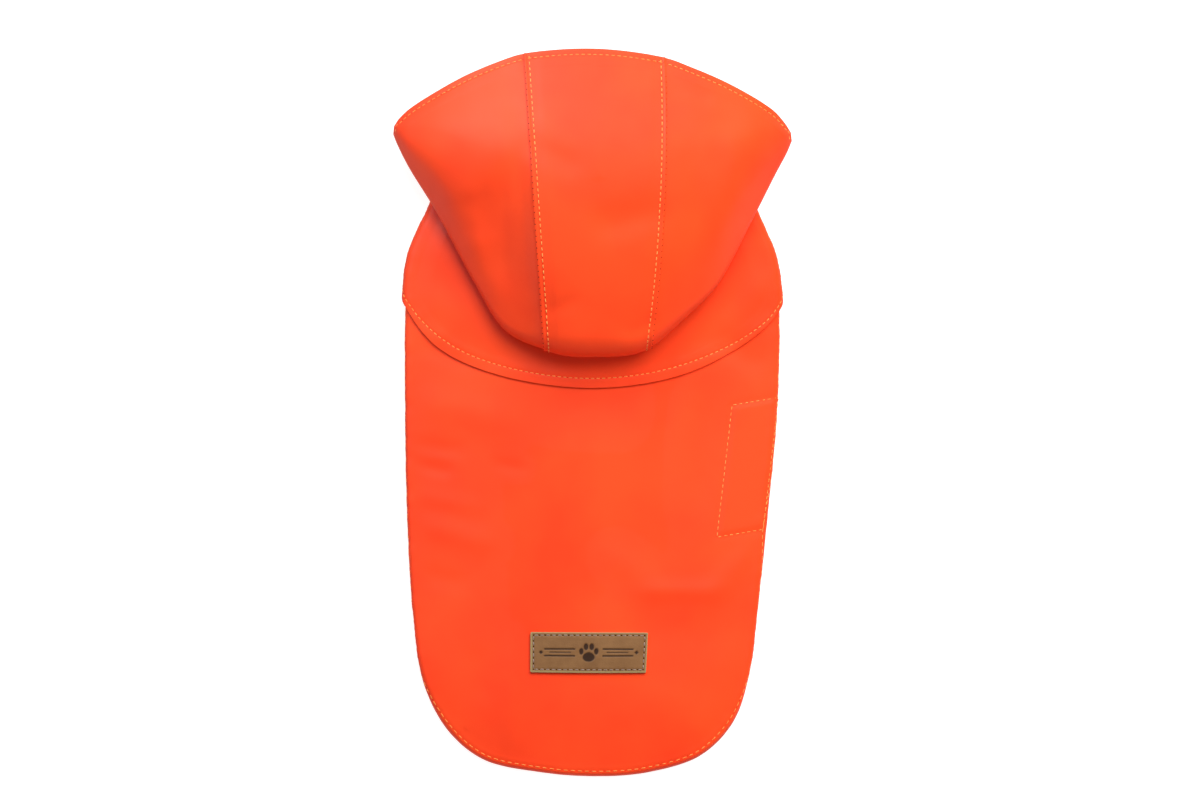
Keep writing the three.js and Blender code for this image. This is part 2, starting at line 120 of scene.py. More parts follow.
def hump(value: Array, middle: Array | float, width: float) -> Array:
    """Gives a soft bump of height 1 at the middle, with a half width."""
    return np.exp(-(((value - middle) / width) ** 2))


def unit(vectors: Array) -> Array:
    """Gives vectors a length of one."""
    return vectors / np.maximum(np.linalg.norm(vectors, axis=-1, keepdims=True), 1e-12)


def stack(*columns: Array) -> Array:
    """Puts coordinates side by side as the last axis."""
    return np.stack(np.broadcast_arrays(*columns), axis=-1)


def read_rows(rows: Array, key: Array) -> Array:
    """Reads a table's columns between its rows, on a smooth cubic through the rows.

    Args:
        rows: The table, with its key in the first column.
        key: The keys to read at.

    Returns:
        The other columns, as the last axis, for each key.
    """
    keys, values = rows[:, 0], rows[:, 1:]
    slopes = np.empty_like(values)
    slopes[1:-1] = (values[2:] - values[:-2]) / (keys[2:] - keys[:-2])[:, None]
    slopes[0] = (values[1] - values[0]) / (keys[1] - keys[0])
    slopes[-1] = (values[-1] - values[-2]) / (keys[-1] - keys[-2])
    row = np.clip(np.searchsorted(keys, key, side="left") - 1, 0, len(keys) - 2)
    span = (keys[row + 1] - keys[row])[..., None]
    t = (np.asarray(key, float)[..., None] - keys[row][..., None]) / span
    start, end = values[row], values[row + 1]
    bend = slopes[row] * span * t * (1 - t) ** 2 - slopes[row + 1] * span * t * t * (1 - t)
    return start + (end - start) * t * t * (3 - 2 * t) + bend


def waver(run: Array, lengths: Sequence[float]) -> Array:
    """Gives an uneven wave of height about 1, of a few wavelengths laid over each other."""
    waves = [np.sin(2 * math.pi * run / length) for length in lengths]
    return sum(waves) / math.sqrt(len(lengths))


def grid_normals(points: Array) -> Array:
    """Gives the unit normals of a grid of points, whose rows run along the first axis."""
    return unit(np.cross(np.gradient(points, axis=1), np.gradient(points, axis=0)))


def face_normals(
    surface: Callable[[Array, Array], Array],
    first: Array,
    second: Array,
    steps: Pair,
) -> Array:
    """Gives the unit normals of a surface that is read by two values.

    Args:
        surface: Gives points from the two values.
        first: The first values to read at.
        second: The second values to read at.
        steps: How far either value is stepped to each side.

    Returns:
        The normals: the way of the first value crossed with that of the second.
    """
    step, side_step = steps
    along = surface(first + step, second) - surface(first - step, second)
    aside = surface(first, second + side_step) - surface(first, second - side_step)
    return unit(np.cross(along, aside))


# ---- Forms that the cloth follows ----


class PlanLine:
    """A smooth curve in plan through a few places, read by its share of its length."""

    STEPS = 60  # points worked out between one place and the next
    SAMPLES = 1200  # even steps that the curve is kept as

    def __init__(self, places: Sequence[Pair]) -> None:
        """Lays a centripetal curve through the places."""
        known = np.array(places, float)
        known = np.vstack([2 * known[0] - known[1], known, 2 * known[-1] - known[-2]])
        spans = [self._span(*four) for four in zip(known, known[1:], known[2:], known[3:])]
        points = np.vstack([*spans, known[-2][None]])
        steps = np.linalg.norm(np.diff(points, axis=0), axis=1)
        run = np.concatenate([[0.0], np.cumsum(steps)])
        self.length = float(run[-1])
        even = np.linspace(0.0, self.length, self.SAMPLES + 1)
        self._points = stack(*(np.interp(even, run, points[:, axis]) for axis in (0, 1)))
        self._along = unit(np.gradient(self._points, axis=0))
        self._tree = KDTree(len(self._points))
        for index, (x, y) in enumerate(self._points):
            self._tree.insert((x, y, 0.0), index)
        self._tree.balance()

    def _span(self, before: Array, start: Array, end: Array, after: Array) -> Array:
        """Gives points of the stretch between two of the places.

        Args:
            before: The place before the stretch.
            start: The place it starts at.
            end: The place it ends at.
            after: The place after it.

        Returns:
            Its points, without the last.
        """
        ends = ((before, start), (start, end), (end, after))
        d0, d1, d2 = (max(float(np.linalg.norm(b - a)) ** 0.5, 1e-6) for a, b in ends)
        leave = ((start - before) / d0 - (end - before) / (d0 + d1) + (end - start) / d1) * d1
        arrive = ((end - start) / d1 - (after - start) / (d1 + d2) + (after - end) / d2) * d1
        t = np.linspace(0.0, 1.0, self.STEPS, endpoint=False)[:, None]
        cubic = (2 * start - 2 * end + leave + arrive) * t**3
        square = (-3 * start + 3 * end - 2 * leave - arrive) * t**2
        return cubic + square + leave * t + start

    def at(self, share: Array, inset: Array | float = 0.0) -> Array:
        """Gives places on the curve or beside it.

        Args:
            share: Shares of the curve's length.
            inset: How far the places are moved in, to the left of the curve.

        Returns:
            Their x and y.
        """
        index = np.clip(share, 0.0, 1.0) * self.SAMPLES
        grid = np.arange(self.SAMPLES + 1)
        x, y = (np.interp(index, grid, self._points[:, axis]) for axis in (0, 1))
        along_x, along_y = (np.interp(index, grid, self._along[:, axis]) for axis in (0, 1))
        return stack(x - along_y * inset, y + along_x * inset)

    def x_at(self, y: Array, side: int) -> Array:
        """Gives the curve's x at each y, on its left (-1) or right (1) half."""
        half = self._points[self._points[:, 0] * side > 0]
        half = half[np.argsort(half[:, 1])]
        return np.interp(y, half[:, 1], half[:, 0])

    def nearest(self, x: Array, y: Array) -> tuple[Array, Array]:
        """Finds the curve's nearest point to each place.

        Args:
            x, y: The places.

        Returns:
            Its share of the length, and how far in (to the left) the place lies.
        """
        flat = stack(x, y).reshape(-1, 2)
        found = np.array([self._tree.find((a, b, 0.0))[1] for a, b in flat])
        along = self._along[found]
        away = flat - self._points[found]
        slip = np.sum(away * along, axis=1) / self.length
        share = np.clip(found / self.SAMPLES + slip, 0.0, 1.0)
        inward = away[:, 1] * along[:, 0] - away[:, 0] * along[:, 1]
        return share.reshape(np.shape(x)), inward.reshape(np.shape(x))


@dataclass(frozen=True)
class Fold:
    """A soft trough or ridge, listed as its two ends, its half width and its rise."""

    END_FADE = 1.5  # how fast its height falls off at its ends

    start: Pair
    end: Pair
    width: float
    rise: float

    def height(self, x: Array, y: Array) -> Array:
        """Gives the fold's height, which fades out towards its ends.

        Args:
            x, y: The places.

        Returns:
            The heights.
        """
        along = np.subtract(self.end, self.start)
        length = float(np.linalg.norm(along))
        along = along / length
        run = (x - self.start[0]) * along[0] + (y - self.start[1]) * along[1]
        side = (x - self.start[0]) * -along[1] + (y - self.start[1]) * along[0]
        middle = (run / length - 0.5) * 2
        return self.rise * np.exp(-((side / self.width) ** 2) - self.END_FADE * middle**4)


def fold_height(folds: Sequence[Fold], x: Array, y: Array) -> Array:
    """Adds up the heights of a set of folds."""
    return sum((fold.height(x, y) for fold in folds), np.zeros(np.shape(x)))


@dataclass(frozen=True)
class SewnBox:
    """The four-sided box sewn through the back panel, over the tape beneath it."""

    corner: Pair = (65.1, -64.9)
    across: Pair = (24.2, 4.0)
    up: Pair = (7.9, 69.0)
    stand: float = 0.4  # how far the tape lifts the cloth
    shoulder: Pair = (-0.6, 2.4)  # the lift grows between these, in from a side
    drawn: float = 0.3  # how far the thread draws the cloth in
    groove: float = 1.1  # half width of the groove along the thread

    def corners(self) -> Array:
        """Gives the box's corners, from the lower left round by the right."""
        low, across, up = (np.array(part) for part in (self.corner, self.across, self.up))
        return np.array([low, low + across, low + across + up, low + up])

    def lift(self, x: Array, y: Array) -> Array:
        """Gives how far the tape lifts the cloth inside the box, and the thread draws it in.

        Args:
            x, y: The places.

        Returns:
            The lifts.
        """
        wide, high = np.array(self.across), np.array(self.up)
        turned = wide[0] * high[1] - wide[1] * high[0]
        dx, dy = x - self.corner[0], y - self.corner[1]
        s = (dx * high[1] - dy * high[0]) / turned
        t = (wide[0] * dy - wide[1] * dx) / turned
        side = np.minimum(s, 1 - s) * turned / np.linalg.norm(high)
        end = np.minimum(t, 1 - t) * turned / np.linalg.norm(wide)
        inside = np.minimum(side, end)
        drawn = self.drawn * hump(inside, 0.0, self.groove)
        return self.stand * ease(inside, *self.shoulder) - drawn


@dataclass
class BackForm:
    """The outer face of the back panel: its hem line, its crown and the roll of its hem."""

    crown: float = 9.0  # height of the face away from the hems
    side_height: float = 6.6  # its height where the side hems start to roll down
    tail_height: float = 4.4  # and where the tail's does
    tail_from: float = -128.0  # the sides' hem turns into the tail's between these two
    tail_to: float = -172.0
    reach: float = 52.0  # how far in from the hems the face rises to its crown
    fold_margin: float = 14.0  # how far in from an edge the folds come to their full height
    box_margin: float = 2.0  # and the sewn box
    side_roll: float = 2.4  # radii of the hems' roll
    tail_roll: float = 1.8
    tail_turn: float = math.radians(80)  # how far the tail's hem rolls down
    steepest: float = 8.0  # slope given to a hem that hangs straight down
    side_low: float = LAYER  # height of the side hems' edge
    low_over: float = 40.0  # how soon it comes up from the tail
    neck_left: float = -74.6
    neck_right: float = 75.6
    neck_end: float = 132.0
    nape_dip: float = 19.0
    throat_dip: float = 52.0
    box: SewnBox = SewnBox()
    hem_places: tuple[Pair, ...] = (
        (-74.6, 132), (-83.6, 108), (-94.3, 84), (-97.5, 62), (-98.1, 0), (-97.0, -55),
        (-94.0, -105), (-88.3, -142), (-75.5, -166.5), (-57.0, -181.5), (-28.0, -188),
        (0, -190.2), (28.0, -188.3), (56.5, -179.3), (73.5, -162), (81.8, -138),
        (87.0, -98), (92.0, -50), (96.6, 0), (97.5, 58), (94.0, 82), (84.0, 106), (75.6, 132),
    )
    folds: tuple[Fold, ...] = (
        Fold((-94, 8), (-40, -6), 10.0, 0.8),
        Fold((-98, -16), (-66, -20), 4.5, -0.5),
        Fold((-97, -26), (-72, -31), 4.0, -0.6),
        Fold((-52, -26), (-34, -30), 3.5, -0.35),
        Fold((-96, -42), (-58, -50), 5.0, 0.4),
        Fold((-92, -57), (-50, -70), 7.0, 0.7),
        Fold((-90, -84), (-64, -90), 6.0, -0.4),
        Fold((-96, 38), (-56, 22), 5.0, -0.5),
        Fold((88, 50), (96, 34), 5.0, 0.6),
        Fold((64, 40), (92, 22), 7.0, -0.9),
        Fold((60, 12), (56, -56), 9.0, -0.8),
        Fold((6, -70), (38, -96), 7.0, 0.5),
        Fold((22, -93), (70, -93), 5.0, 0.8),
        Fold((56, -100), (94, -62), 7.0, 0.7),
        Fold((10, -112), (76, -116), 12.0, -0.6),
        Fold((-44, -118), (-42, -178), 5.0, 0.5),
        Fold((-62, -122), (-56, -152), 7.0, -0.5),
        Fold((30, -142), (62, -170), 11.0, 0.5),
        Fold((-30, 6), (24, 2), 12.0, -0.4),
    )

    def __post_init__(self) -> None:
        """Lays the hem line."""
        self.hem = PlanLine(self.hem_places)

    def tail_share(self, y: Array) -> Array:
        """Says how far a place's hem is the tail's: 0 on the sides, 1 at the tail."""
        return 1.0 - ease(y, self.tail_to, self.tail_from)

    def neck_share(self, x: Array) -> Array:
        """Gives 0 at the neckline's ends and 1 at its middle."""
        middle = (self.neck_left + self.neck_right) / 2
        half = (self.neck_right - self.neck_left) / 2
        return 1 - np.clip((x - middle) / half, -1, 1) ** 2

    def neck_y(self, x: Array, dip: float) -> Array:
        """Gives the y of the neckline, with its dip in the middle, at each x."""
        return self.neck_end - dip * self.neck_share(x)

    def nape(self, share: Array) -> Array:
        """Gives places on the neckline at the nape, from its left end to its right."""
        x = mix(self.neck_left, self.neck_right, share)
        return stack(x, self.neck_y(x, self.nape_dip))

    def edge_height(self, y: Array) -> Array:
        """Gives the height of the cloth's face where its hem starts to roll down."""
        return mix(self.side_height, self.tail_height, self.tail_share(y))

    def rise(self, x: Array, y: Array, inward: Array) -> Array:
        """Gives the height of the cloth's face.

        Args:
            x, y: The places.
            inward: How far inside the hem line they are.

        Returns:
            The heights.
        """
        share = np.clip(inward / self.reach, 0.0, 1.0)
        base = mix(self.edge_height(y), self.crown, 1 - (1 - share) ** 2)
        laid = fold_height(self.folds, x, y) * ease(inward, 0.0, self.fold_margin)
        return base + laid + self.box.lift(x, y) * ease(inward, 0.0, self.box_margin)

    def height_at(self, x: Array, y: Array) -> Array:
        """Gives the height of the cloth's face at each place."""
        return self.rise(x, y, self.hem.nearest(x, y)[1])

    def roll_of(self, y: Array) -> tuple[Array, Array, Array]:
        """Gives the hem's roll at a place on the hem line.

        Args:
            y: The place's y.

        Returns:
            The roll's radius, the angle it turns down by and the drop from its start to the edge.
        """
        tail = self.tail_share(y)
        low = self.side_low * ease(y, self.tail_from, self.tail_from + self.low_over)
        radius = mix(self.side_roll, self.tail_roll, tail)
        return radius, mix(math.pi / 2, self.tail_turn, tail), self.edge_height(y) - low

    def over_hem(self, share: Array, run: Array, lift: Array | float = 0.0) -> Array:
        """Gives points on the cloth, at a distance along it from the hem's edge.

        Args:
            share: Shares of the hem line's length.
            run: Distances over the cloth, in from its edge.
            lift: How far the points stand out from the cloth's face.

        Returns:
            The points.
        """
        rim = self.hem.at(share)
        radius, turn, drop = self.roll_of(rim[..., 1])
        straight = (drop - radius * (1 - np.cos(turn))) / np.sin(turn)
        left = np.clip(turn - (run - straight) / radius, 0.0, turn)
        inset = np.minimum(run, straight) * np.cos(turn) + radius * (np.sin(turn) - np.sin(left))
        inset = inset + np.maximum(run - straight - radius * turn, 0.0)
        down = np.maximum(straight - run, 0.0) * np.sin(turn) + radius * (1 - np.cos(left))
        place = self.hem.at(share, inset)
        height = self.rise(place[..., 0], place[..., 1], inset)
        moved = self.hem.at(share, inset - lift * np.sin(left))
        return stack(moved[..., 0], moved[..., 1], height - down + lift * np.cos(left))

    def over_plan(self, x: Array, y: Array) -> Array:
        """Gives the points of the cloth's face over places in plan.

        Args:
            x, y: The places.

        Returns:
            The points, on the face or down the roll of its hem.
        """
        share, inward = self.hem.nearest(x, y)
        radius, turn, drop = self.roll_of(self.hem.at(share)[..., 1])
        straight = (drop - radius * (1 - np.cos(turn))) / np.tan(turn)
        past = np.maximum(radius * np.sin(turn) + straight - inward, 0.0)
        bent = np.minimum(past, radius * np.sin(turn))
        down = radius - np.sqrt(np.maximum(radius**2 - bent**2, 0.0))
        slope = np.minimum(np.tan(turn), self.steepest)
        down = down + np.where(past > bent, (past - bent) * slope, 0.0)
        return stack(x, y, self.rise(x, y, inward) - down)

    def laid_over(self, x: Array, y: Array, stand: float) -> Array:
        """Lays flat places on the cloth, round the roll of the side hems where they pass it.

        Args:
            x, y: The flat places.
            stand: How far what is laid stands off the hems.

        Returns:
            The points on the cloth's face.
        """
        share, inward = self.hem.nearest(x, y)
        roll = self.side_roll
        beyond = roll - stand - inward
        turn = np.clip(beyond / roll, 0.0, math.pi / 2)
        straight = np.maximum(beyond - turn * roll, 0.0)
        past = self.hem.at(share, roll - stand - roll * np.sin(turn))
        flat = beyond <= 0
        lower = self.edge_height(past[..., 1]) - roll * (1 - np.cos(turn)) - straight
        height = np.where(flat, self.rise(x, y, inward), lower)
        return stack(np.where(flat, x, past[..., 0]), np.where(flat, y, past[..., 1]), height)


@dataclass
class HoodForm:
    """The hood's outer face, along gore lines that run from the face edge round to the neckline."""

    back: BackForm
    seam: float = 3.0  # gore lines of the centre strip's edges, left and right
    tip: float = 8.0  # gore lines of the hood's tips
    lap: float = 0.45  # how far the side panels run under the strip, in gores
    camber: float = 1.6  # how much the strip crowns at its middle
    clear: float = 0.5  # room over the cape at the neckline
    plan: tuple[tuple[float, ...], ...] = (
        # gore, face edge x and y, fold x and y, neckline x, sideways bow of the gore line on top
        (-8, -103.7, 150.0, -104.2, 145.6, -74.6, 0),
        (-7.6, -100.9, 154.0, -101.9, 139.9, -72.6, 0),
        (-7, -94.8, 159.5, -95.6, 127.6, -69, 0),
        (-6, -81.0, 168.2, -80.8, 103.5, -61, 0),
        (-5, -66.0, 176.3, -62.3, 68.9, -51, 0),
        (-4, -50.0, 183.0, -46.2, 43.6, -38, 0),
        (-3, -35.8, 187.4, -25.6, 33.6, -25, 0),
        (0, 1.5, 189.7, 1.5, 30.4, 1.5, 1.2),
        (3, 38.0, 185.2, 31.0, 34.8, 27, 3.4),
        (4, 52.0, 180.2, 48.0, 49.3, 40, 2.4),
        (5, 68.0, 173.4, 66.0, 68.0, 52, 1),
        (6, 83.0, 165.5, 83.8, 101.5, 62, 0),
        (7, 94.6, 157.9, 95.5, 124.6, 70, 0),
        (7.6, 100.6, 151.3, 101.5, 135.8, 73.6, 0),
        (8, 103.6, 146.6, 104.2, 142.2, 75.6, 0),
    )
    left_heights: tuple[tuple[float, ...], ...] = (
        # gores out, height at the face edge, a third and two thirds along, at the fold,
        # radius of the fold above and below, clearance at the neckline
        (3, 36.5, 50.5, 47.5, 31, 8.5, 6.5, 1.5),
        (3.4, 36, 49, 43.5, 27, 6.4, 5.6, 0.6),
        (4, 34.5, 47, 39, 23.5, 4.5, 4.5, 0),
        (5, 31, 41.5, 37, 21, 3.5, 3.5, 0),
        (6, 27, 34, 33, 19.5, 3, 3, 0),
        (7, 22.5, 26, 26, 18.5, 2.8, 2.6, 0),
        (8, 18.5, 19, 18, 17, 2.6, 2.4, 0),
    )
    right_heights: tuple[tuple[float, ...], ...] = (
        (3, 36.5, 50.5, 47.5, 31, 8.5, 6.5, 1.5),
        (4, 36.5, 47, 44.5, 28.5, 5.5, 4.5, 0),
        (5, 34, 42, 40.5, 25, 3.5, 3.5, 0),
        (6, 30, 36, 34, 22, 3, 3, 0),
        (7, 24.5, 28, 26, 20, 2.8, 2.6, 0),
        (8, 18.5, 19, 18, 17, 2.6, 2.4, 0),
    )
    dents: tuple[Fold, ...] = (
        Fold((-2, 96), (36, 106), 9.0, -1.5),
        Fold((-36, 143), (-6, 126), 7.0, -0.8),
        Fold((-26, 52), (-6, 60), 5.0, -0.8),
        Fold((16, 40), (34, 50), 4.5, -0.9),
        Fold((36, 168), (62, 163), 5.0, -0.7),
        Fold((-38.5, 133), (-34.5, 60), 5.0, -1.5),
        Fold((-47, 129), (-42, 60), 6.5, -2.4),
        Fold((-57, 121), (-51, 68), 7.5, -2.6),
        Fold((-68, 114), (-62, 90), 8.0, -1.6),
        Fold((46, 150), (58, 84), 8.0, -0.9),
        Fold((72, 150), (74, 110), 7.0, 0.7),
    )
    nose: Triple = (34, 10.5, 7.5)  # fold height and radii at the middle

    def __post_init__(self) -> None:
        """Makes the tables ready to read."""
        self._plan = np.array(self.plan, float)
        self._left = np.array(self.left_heights, float)
        self._right = np.array(self.right_heights, float)

    def _height_columns(self, gore: Array) -> Array:
        """Reads the columns of heights on gore lines.

        Args:
            gore: The gore lines.

        Returns:
            The columns after the first, as the last axis. The centre strip crowns a little.
        """
        out = np.abs(gore)
        key = np.maximum(out, self.seam)
        left, right = read_rows(self._left, key), read_rows(self._right, key)
        at_seam = np.where((gore < 0)[..., None], left, right)
        middle = at_seam + self.camber
        middle[..., 3:6] = self.nose
        inward = np.maximum(1 - (out / self.seam) ** 2, 0.0)[..., None]
        return mix(at_seam, middle, inward)

    def top_length(self, gore: Array) -> Array:
        """Gives the length on top in plan, from the face edge to where the fold starts to turn."""
        plan = read_rows(self._plan, gore)
        length = np.linalg.norm(plan[..., 0:2] - plan[..., 2:4], axis=-1)
        return length - self._height_columns(gore)[..., 4]

    def at(self, gore: Array, run: Array) -> Array:
        """Gives points of the hood's face.

        Args:
            gore: Gore lines, -8 at the left tip to 8 at the right.
            run: 0 to 1 on top, 1 to 2 round the fold and 2 to 3 underneath to the neckline.

        Returns:
            The points.
        """
        plan = read_rows(self._plan, gore)
        high = self._height_columns(gore)
        face, fold, neck_x = plan[..., 0:2], plan[..., 2:4], plan[..., 4]
        neck = stack(neck_x, self.back.neck_y(neck_x, self.back.nape_dip))
        turn = np.clip(run - 1, 0, 1) * math.pi
        on_top = turn <= math.pi / 2
        radius = np.where(on_top, high[..., 4], high[..., 5])
        target = np.where(on_top[..., None], face, neck)
        flat = np.linalg.norm(target - fold, axis=-1)
        beyond = (flat - radius) * np.where(on_top, 1 - np.minimum(run, 1), np.maximum(run - 2, 0))
        inward = radius * (1 - np.sin(turn)) + beyond
        place = fold + (target - fold) * (inward / flat)[..., None]
        along = 1 - inward / flat
        bow = np.where(on_top, plan[..., 5] * 4 * along * (1 - along), 0.0)
        drop = radius * (1 - np.abs(np.cos(turn)))
        dents = fold_height(self.dents, place[..., 0], place[..., 1]) * np.cos(turn) ** 2
        top = self._along_top(high[..., :4], 3 * along) - drop + dents
        under_fold = high[..., 3] - high[..., 4] - high[..., 5]
        at_neck = self.back.height_at(neck[..., 0], neck[..., 1]) + LAYER
        at_neck = at_neck + self.clear + high[..., 6]
        under = mix(under_fold, at_neck, inward / flat) + drop
        return stack(place[..., 0] + bow, place[..., 1], np.where(on_top, top, under))

    @staticmethod
    def _along_top(heights: Array, share: Array) -> Array:
        """Reads a gore line's height on top, on a smooth cubic through four heights.

        Args:
            heights: The four heights, evenly spaced, as the last axis.
            share: Where to read, from 0 at the first to 3 at the last.

        Returns:
            The heights there.
        """
        slopes = np.empty_like(heights)
        slopes[..., 0] = heights[..., 1] - heights[..., 0]
        slopes[..., 1] = (heights[..., 2] - heights[..., 0]) / 2
        slopes[..., 2] = (heights[..., 3] - heights[..., 1]) / 2
        slopes[..., 3] = heights[..., 3] - heights[..., 2]
        step = np.clip(np.floor(share), 0, 2).astype(int)
        t = share - step
        start, end, leave, arrive = (
            np.take_along_axis(values, (step + more)[..., None], axis=-1)[..., 0]
            for values in (heights, slopes)
            for more in (0, 1)
        )
        bend = leave * t * (1 - t) ** 2 - arrive * t * t * (1 - t)
        return start + (end - start) * t * t * (3 - 2 * t) + bend


# ---- Making meshes ----


def select_only(obj: Object) -> None:
    """Selects one object and makes it the active one."""
    bpy.ops.object.select_all(action="DESELECT")
    obj.select_set(True)
    bpy.context.view_layer.objects.active = obj


def finish_with(obj: Object, kind: str, **settings: object) -> None:
    """Adds a modifier to an object and applies it.

    Args:
        obj: The object.
        kind: The modifier's type.
        settings: The modifier's settings by name.
    """
    select_only(obj)
    modifier = obj.modifiers.new(kind.title(), kind)
    for name, value in settings.items():
        setattr(modifier, name, value)
    bpy.ops.object.modifier_apply(modifier=modifier.name)


@dataclass
class ClothSheet:
    """A sheet of cloth on a grid of points of its outer face, closed into a thin wall.

    The grid's rows and columns turn right-handed about the outward normal, with columns along the
    second axis. The hem is true where the cloth is turned under and sewn, so it is thicker there.
    """

    name: str
    points: Array
    materials: Layers
    hem: Array | None = None
    cloth: float = CLOTH
    hem_cloth: float = HEM_CLOTH
    rim_round: float = 0.24
    marks: dict[str, Array] = field(default_factory=dict)  # values that the material reads, by name

    def build(self) -> Object:
        """Makes the sheet: a grid laid on its points, given its thickness and soft rims."""
        rows, columns = self.points.shape[:2]
        bpy.ops.mesh.primitive_grid_add(x_subdivisions=columns - 1, y_subdivisions=rows - 1, size=1)
        sheet = bpy.context.object
        sheet.name = sheet.data.name = self.name
        flat = np.ascontiguousarray(self.points.reshape(-1) * MM, np.float32)
        sheet.data.vertices.foreach_set("co", flat)
        for material in self.materials:
            sheet.data.materials.append(material)
        for mark, values in self.marks.items():
            layer = sheet.data.attributes.new(mark, "FLOAT", "POINT")
            layer.data.foreach_set("value", np.ascontiguousarray(values.reshape(-1), np.float32))
        group = sheet.vertex_groups.new(name="hem")
        if self.hem is not None:
            group.add(np.flatnonzero(self.hem).tolist(), 1.0, "REPLACE")
        finish_with(
            sheet,
            "SOLIDIFY",
            thickness=self.hem_cloth * MM,
            offset=-1.0,
            vertex_group="hem",
            thickness_vertex_group=self.cloth / self.hem_cloth,
            material_offset=2,
            material_offset_rim=1,
        )
        self._rest(sheet)
        finish_with(
            sheet,
            "BEVEL",
            width=self.rim_round * MM,
            segments=2,
            limit_method="ANGLE",
            angle_limit=math.radians(55),
        )
        select_only(sheet)
        bpy.ops.object.shade_smooth()
        return sheet

    @staticmethod
    def _rest(sheet: Object) -> None:
        """Lets nothing of the sheet go below the surface that the coat lies on."""
        flat = np.empty(len(sheet.data.vertices) * 3, np.float32)
        sheet.data.vertices.foreach_get("co", flat)
        flat[2::3] = np.maximum(flat[2::3], 0.0)
        sheet.data.vertices.foreach_set("co", flat)


class Stitch:
    """A visible length of thread and its needle hole's painted shade, modelled once and copied."""

    SIDES = 6
    ENDS = ((0.13, -0.16, 0.86), (0.07, -0.34, 0.62))  # each step's reach, fall and narrowing

    def __init__(self, thread: Material, hole: Material) -> None:
        """Models the stitch along X, one long, one thick, with its ends turned down."""
        self.pattern = self._model_thread()
        self.hole_shade_from = len(self.pattern.data.vertices)
        # the needle hole is a lens of painted shade, dark by its material
        painted_hole_shade = self._model_hole_shade()
        for polygon in painted_hole_shade.data.polygons:
            polygon.material_index = 1
        for part in (self.pattern, painted_hole_shade):
            part.data.materials.append(thread)
            part.data.materials.append(hole)
        select_only(self.pattern)
        painted_hole_shade.select_set(True)
        bpy.ops.object.join()

    def _model_thread(self) -> Object:
        """Models the thread from a cylinder whose ends are extruded, narrowed and lowered."""
        bpy.ops.mesh.primitive_cylinder_add(
            vertices=self.SIDES, radius=0.5, depth=0.6, rotation=(0, math.pi / 2, 0)
        )
        thread = bpy.context.object
        bpy.ops.object.transform_apply(rotation=True)
        for side in (-1, 1):
            for along, down, narrow in self.ENDS:
                self._extrude_end(thread, side, along, down, narrow)
        bpy.ops.object.shade_smooth()
        return thread

    def _extrude_end(
        self, thread: Object, side: int, along: float, down: float, narrow: float
    ) -> None:
        """Extrudes the thread's end face.

        Args:
            thread: The thread.
            side: Its left (-1) or right (1) end.
            along: How far the face moves on.
            down: How far it moves up, below 0 for down.
            narrow: What its width is multiplied by.
        """
        bpy.ops.object.mode_set(mode="EDIT")
        bpy.ops.mesh.select_all(action="DESELECT")
        bpy.ops.object.mode_set(mode="OBJECT")
        end = max(thread.data.polygons, key=lambda face: face.center.x * side)
        end.select = True
        bpy.ops.object.mode_set(mode="EDIT")
        bpy.ops.mesh.select_mode(type="FACE")
        bpy.ops.mesh.extrude_region_move(TRANSFORM_OT_translate={"value": (along * side, 0, down)})
        bpy.ops.transform.resize(value=(1, narrow, narrow))
        bpy.ops.object.mode_set(mode="OBJECT")

    def _model_hole_shade(self) -> Object:
        """Models the needle hole's painted shade as a low dark lens at the stitch's end."""
        bpy.ops.mesh.primitive_cylinder_add(
            vertices=self.SIDES, radius=0.62, depth=0.5, location=(0, 0, -0.42)
        )
        hole = bpy.context.object
        bpy.ops.object.transform_apply(location=True)
        bpy.ops.object.mode_set(mode="EDIT")
        bpy.ops.mesh.select_all(action="SELECT")
        bpy.ops.mesh.bevel(offset=0.16, segments=1, affect="EDGES")
        bpy.ops.object.mode_set(mode="OBJECT")
        bpy.ops.object.shade_smooth()
        return hole

    def discard(self) -> None:
        """Removes the pattern once every row is sewn."""
        bpy.data.objects.remove(self.pattern)


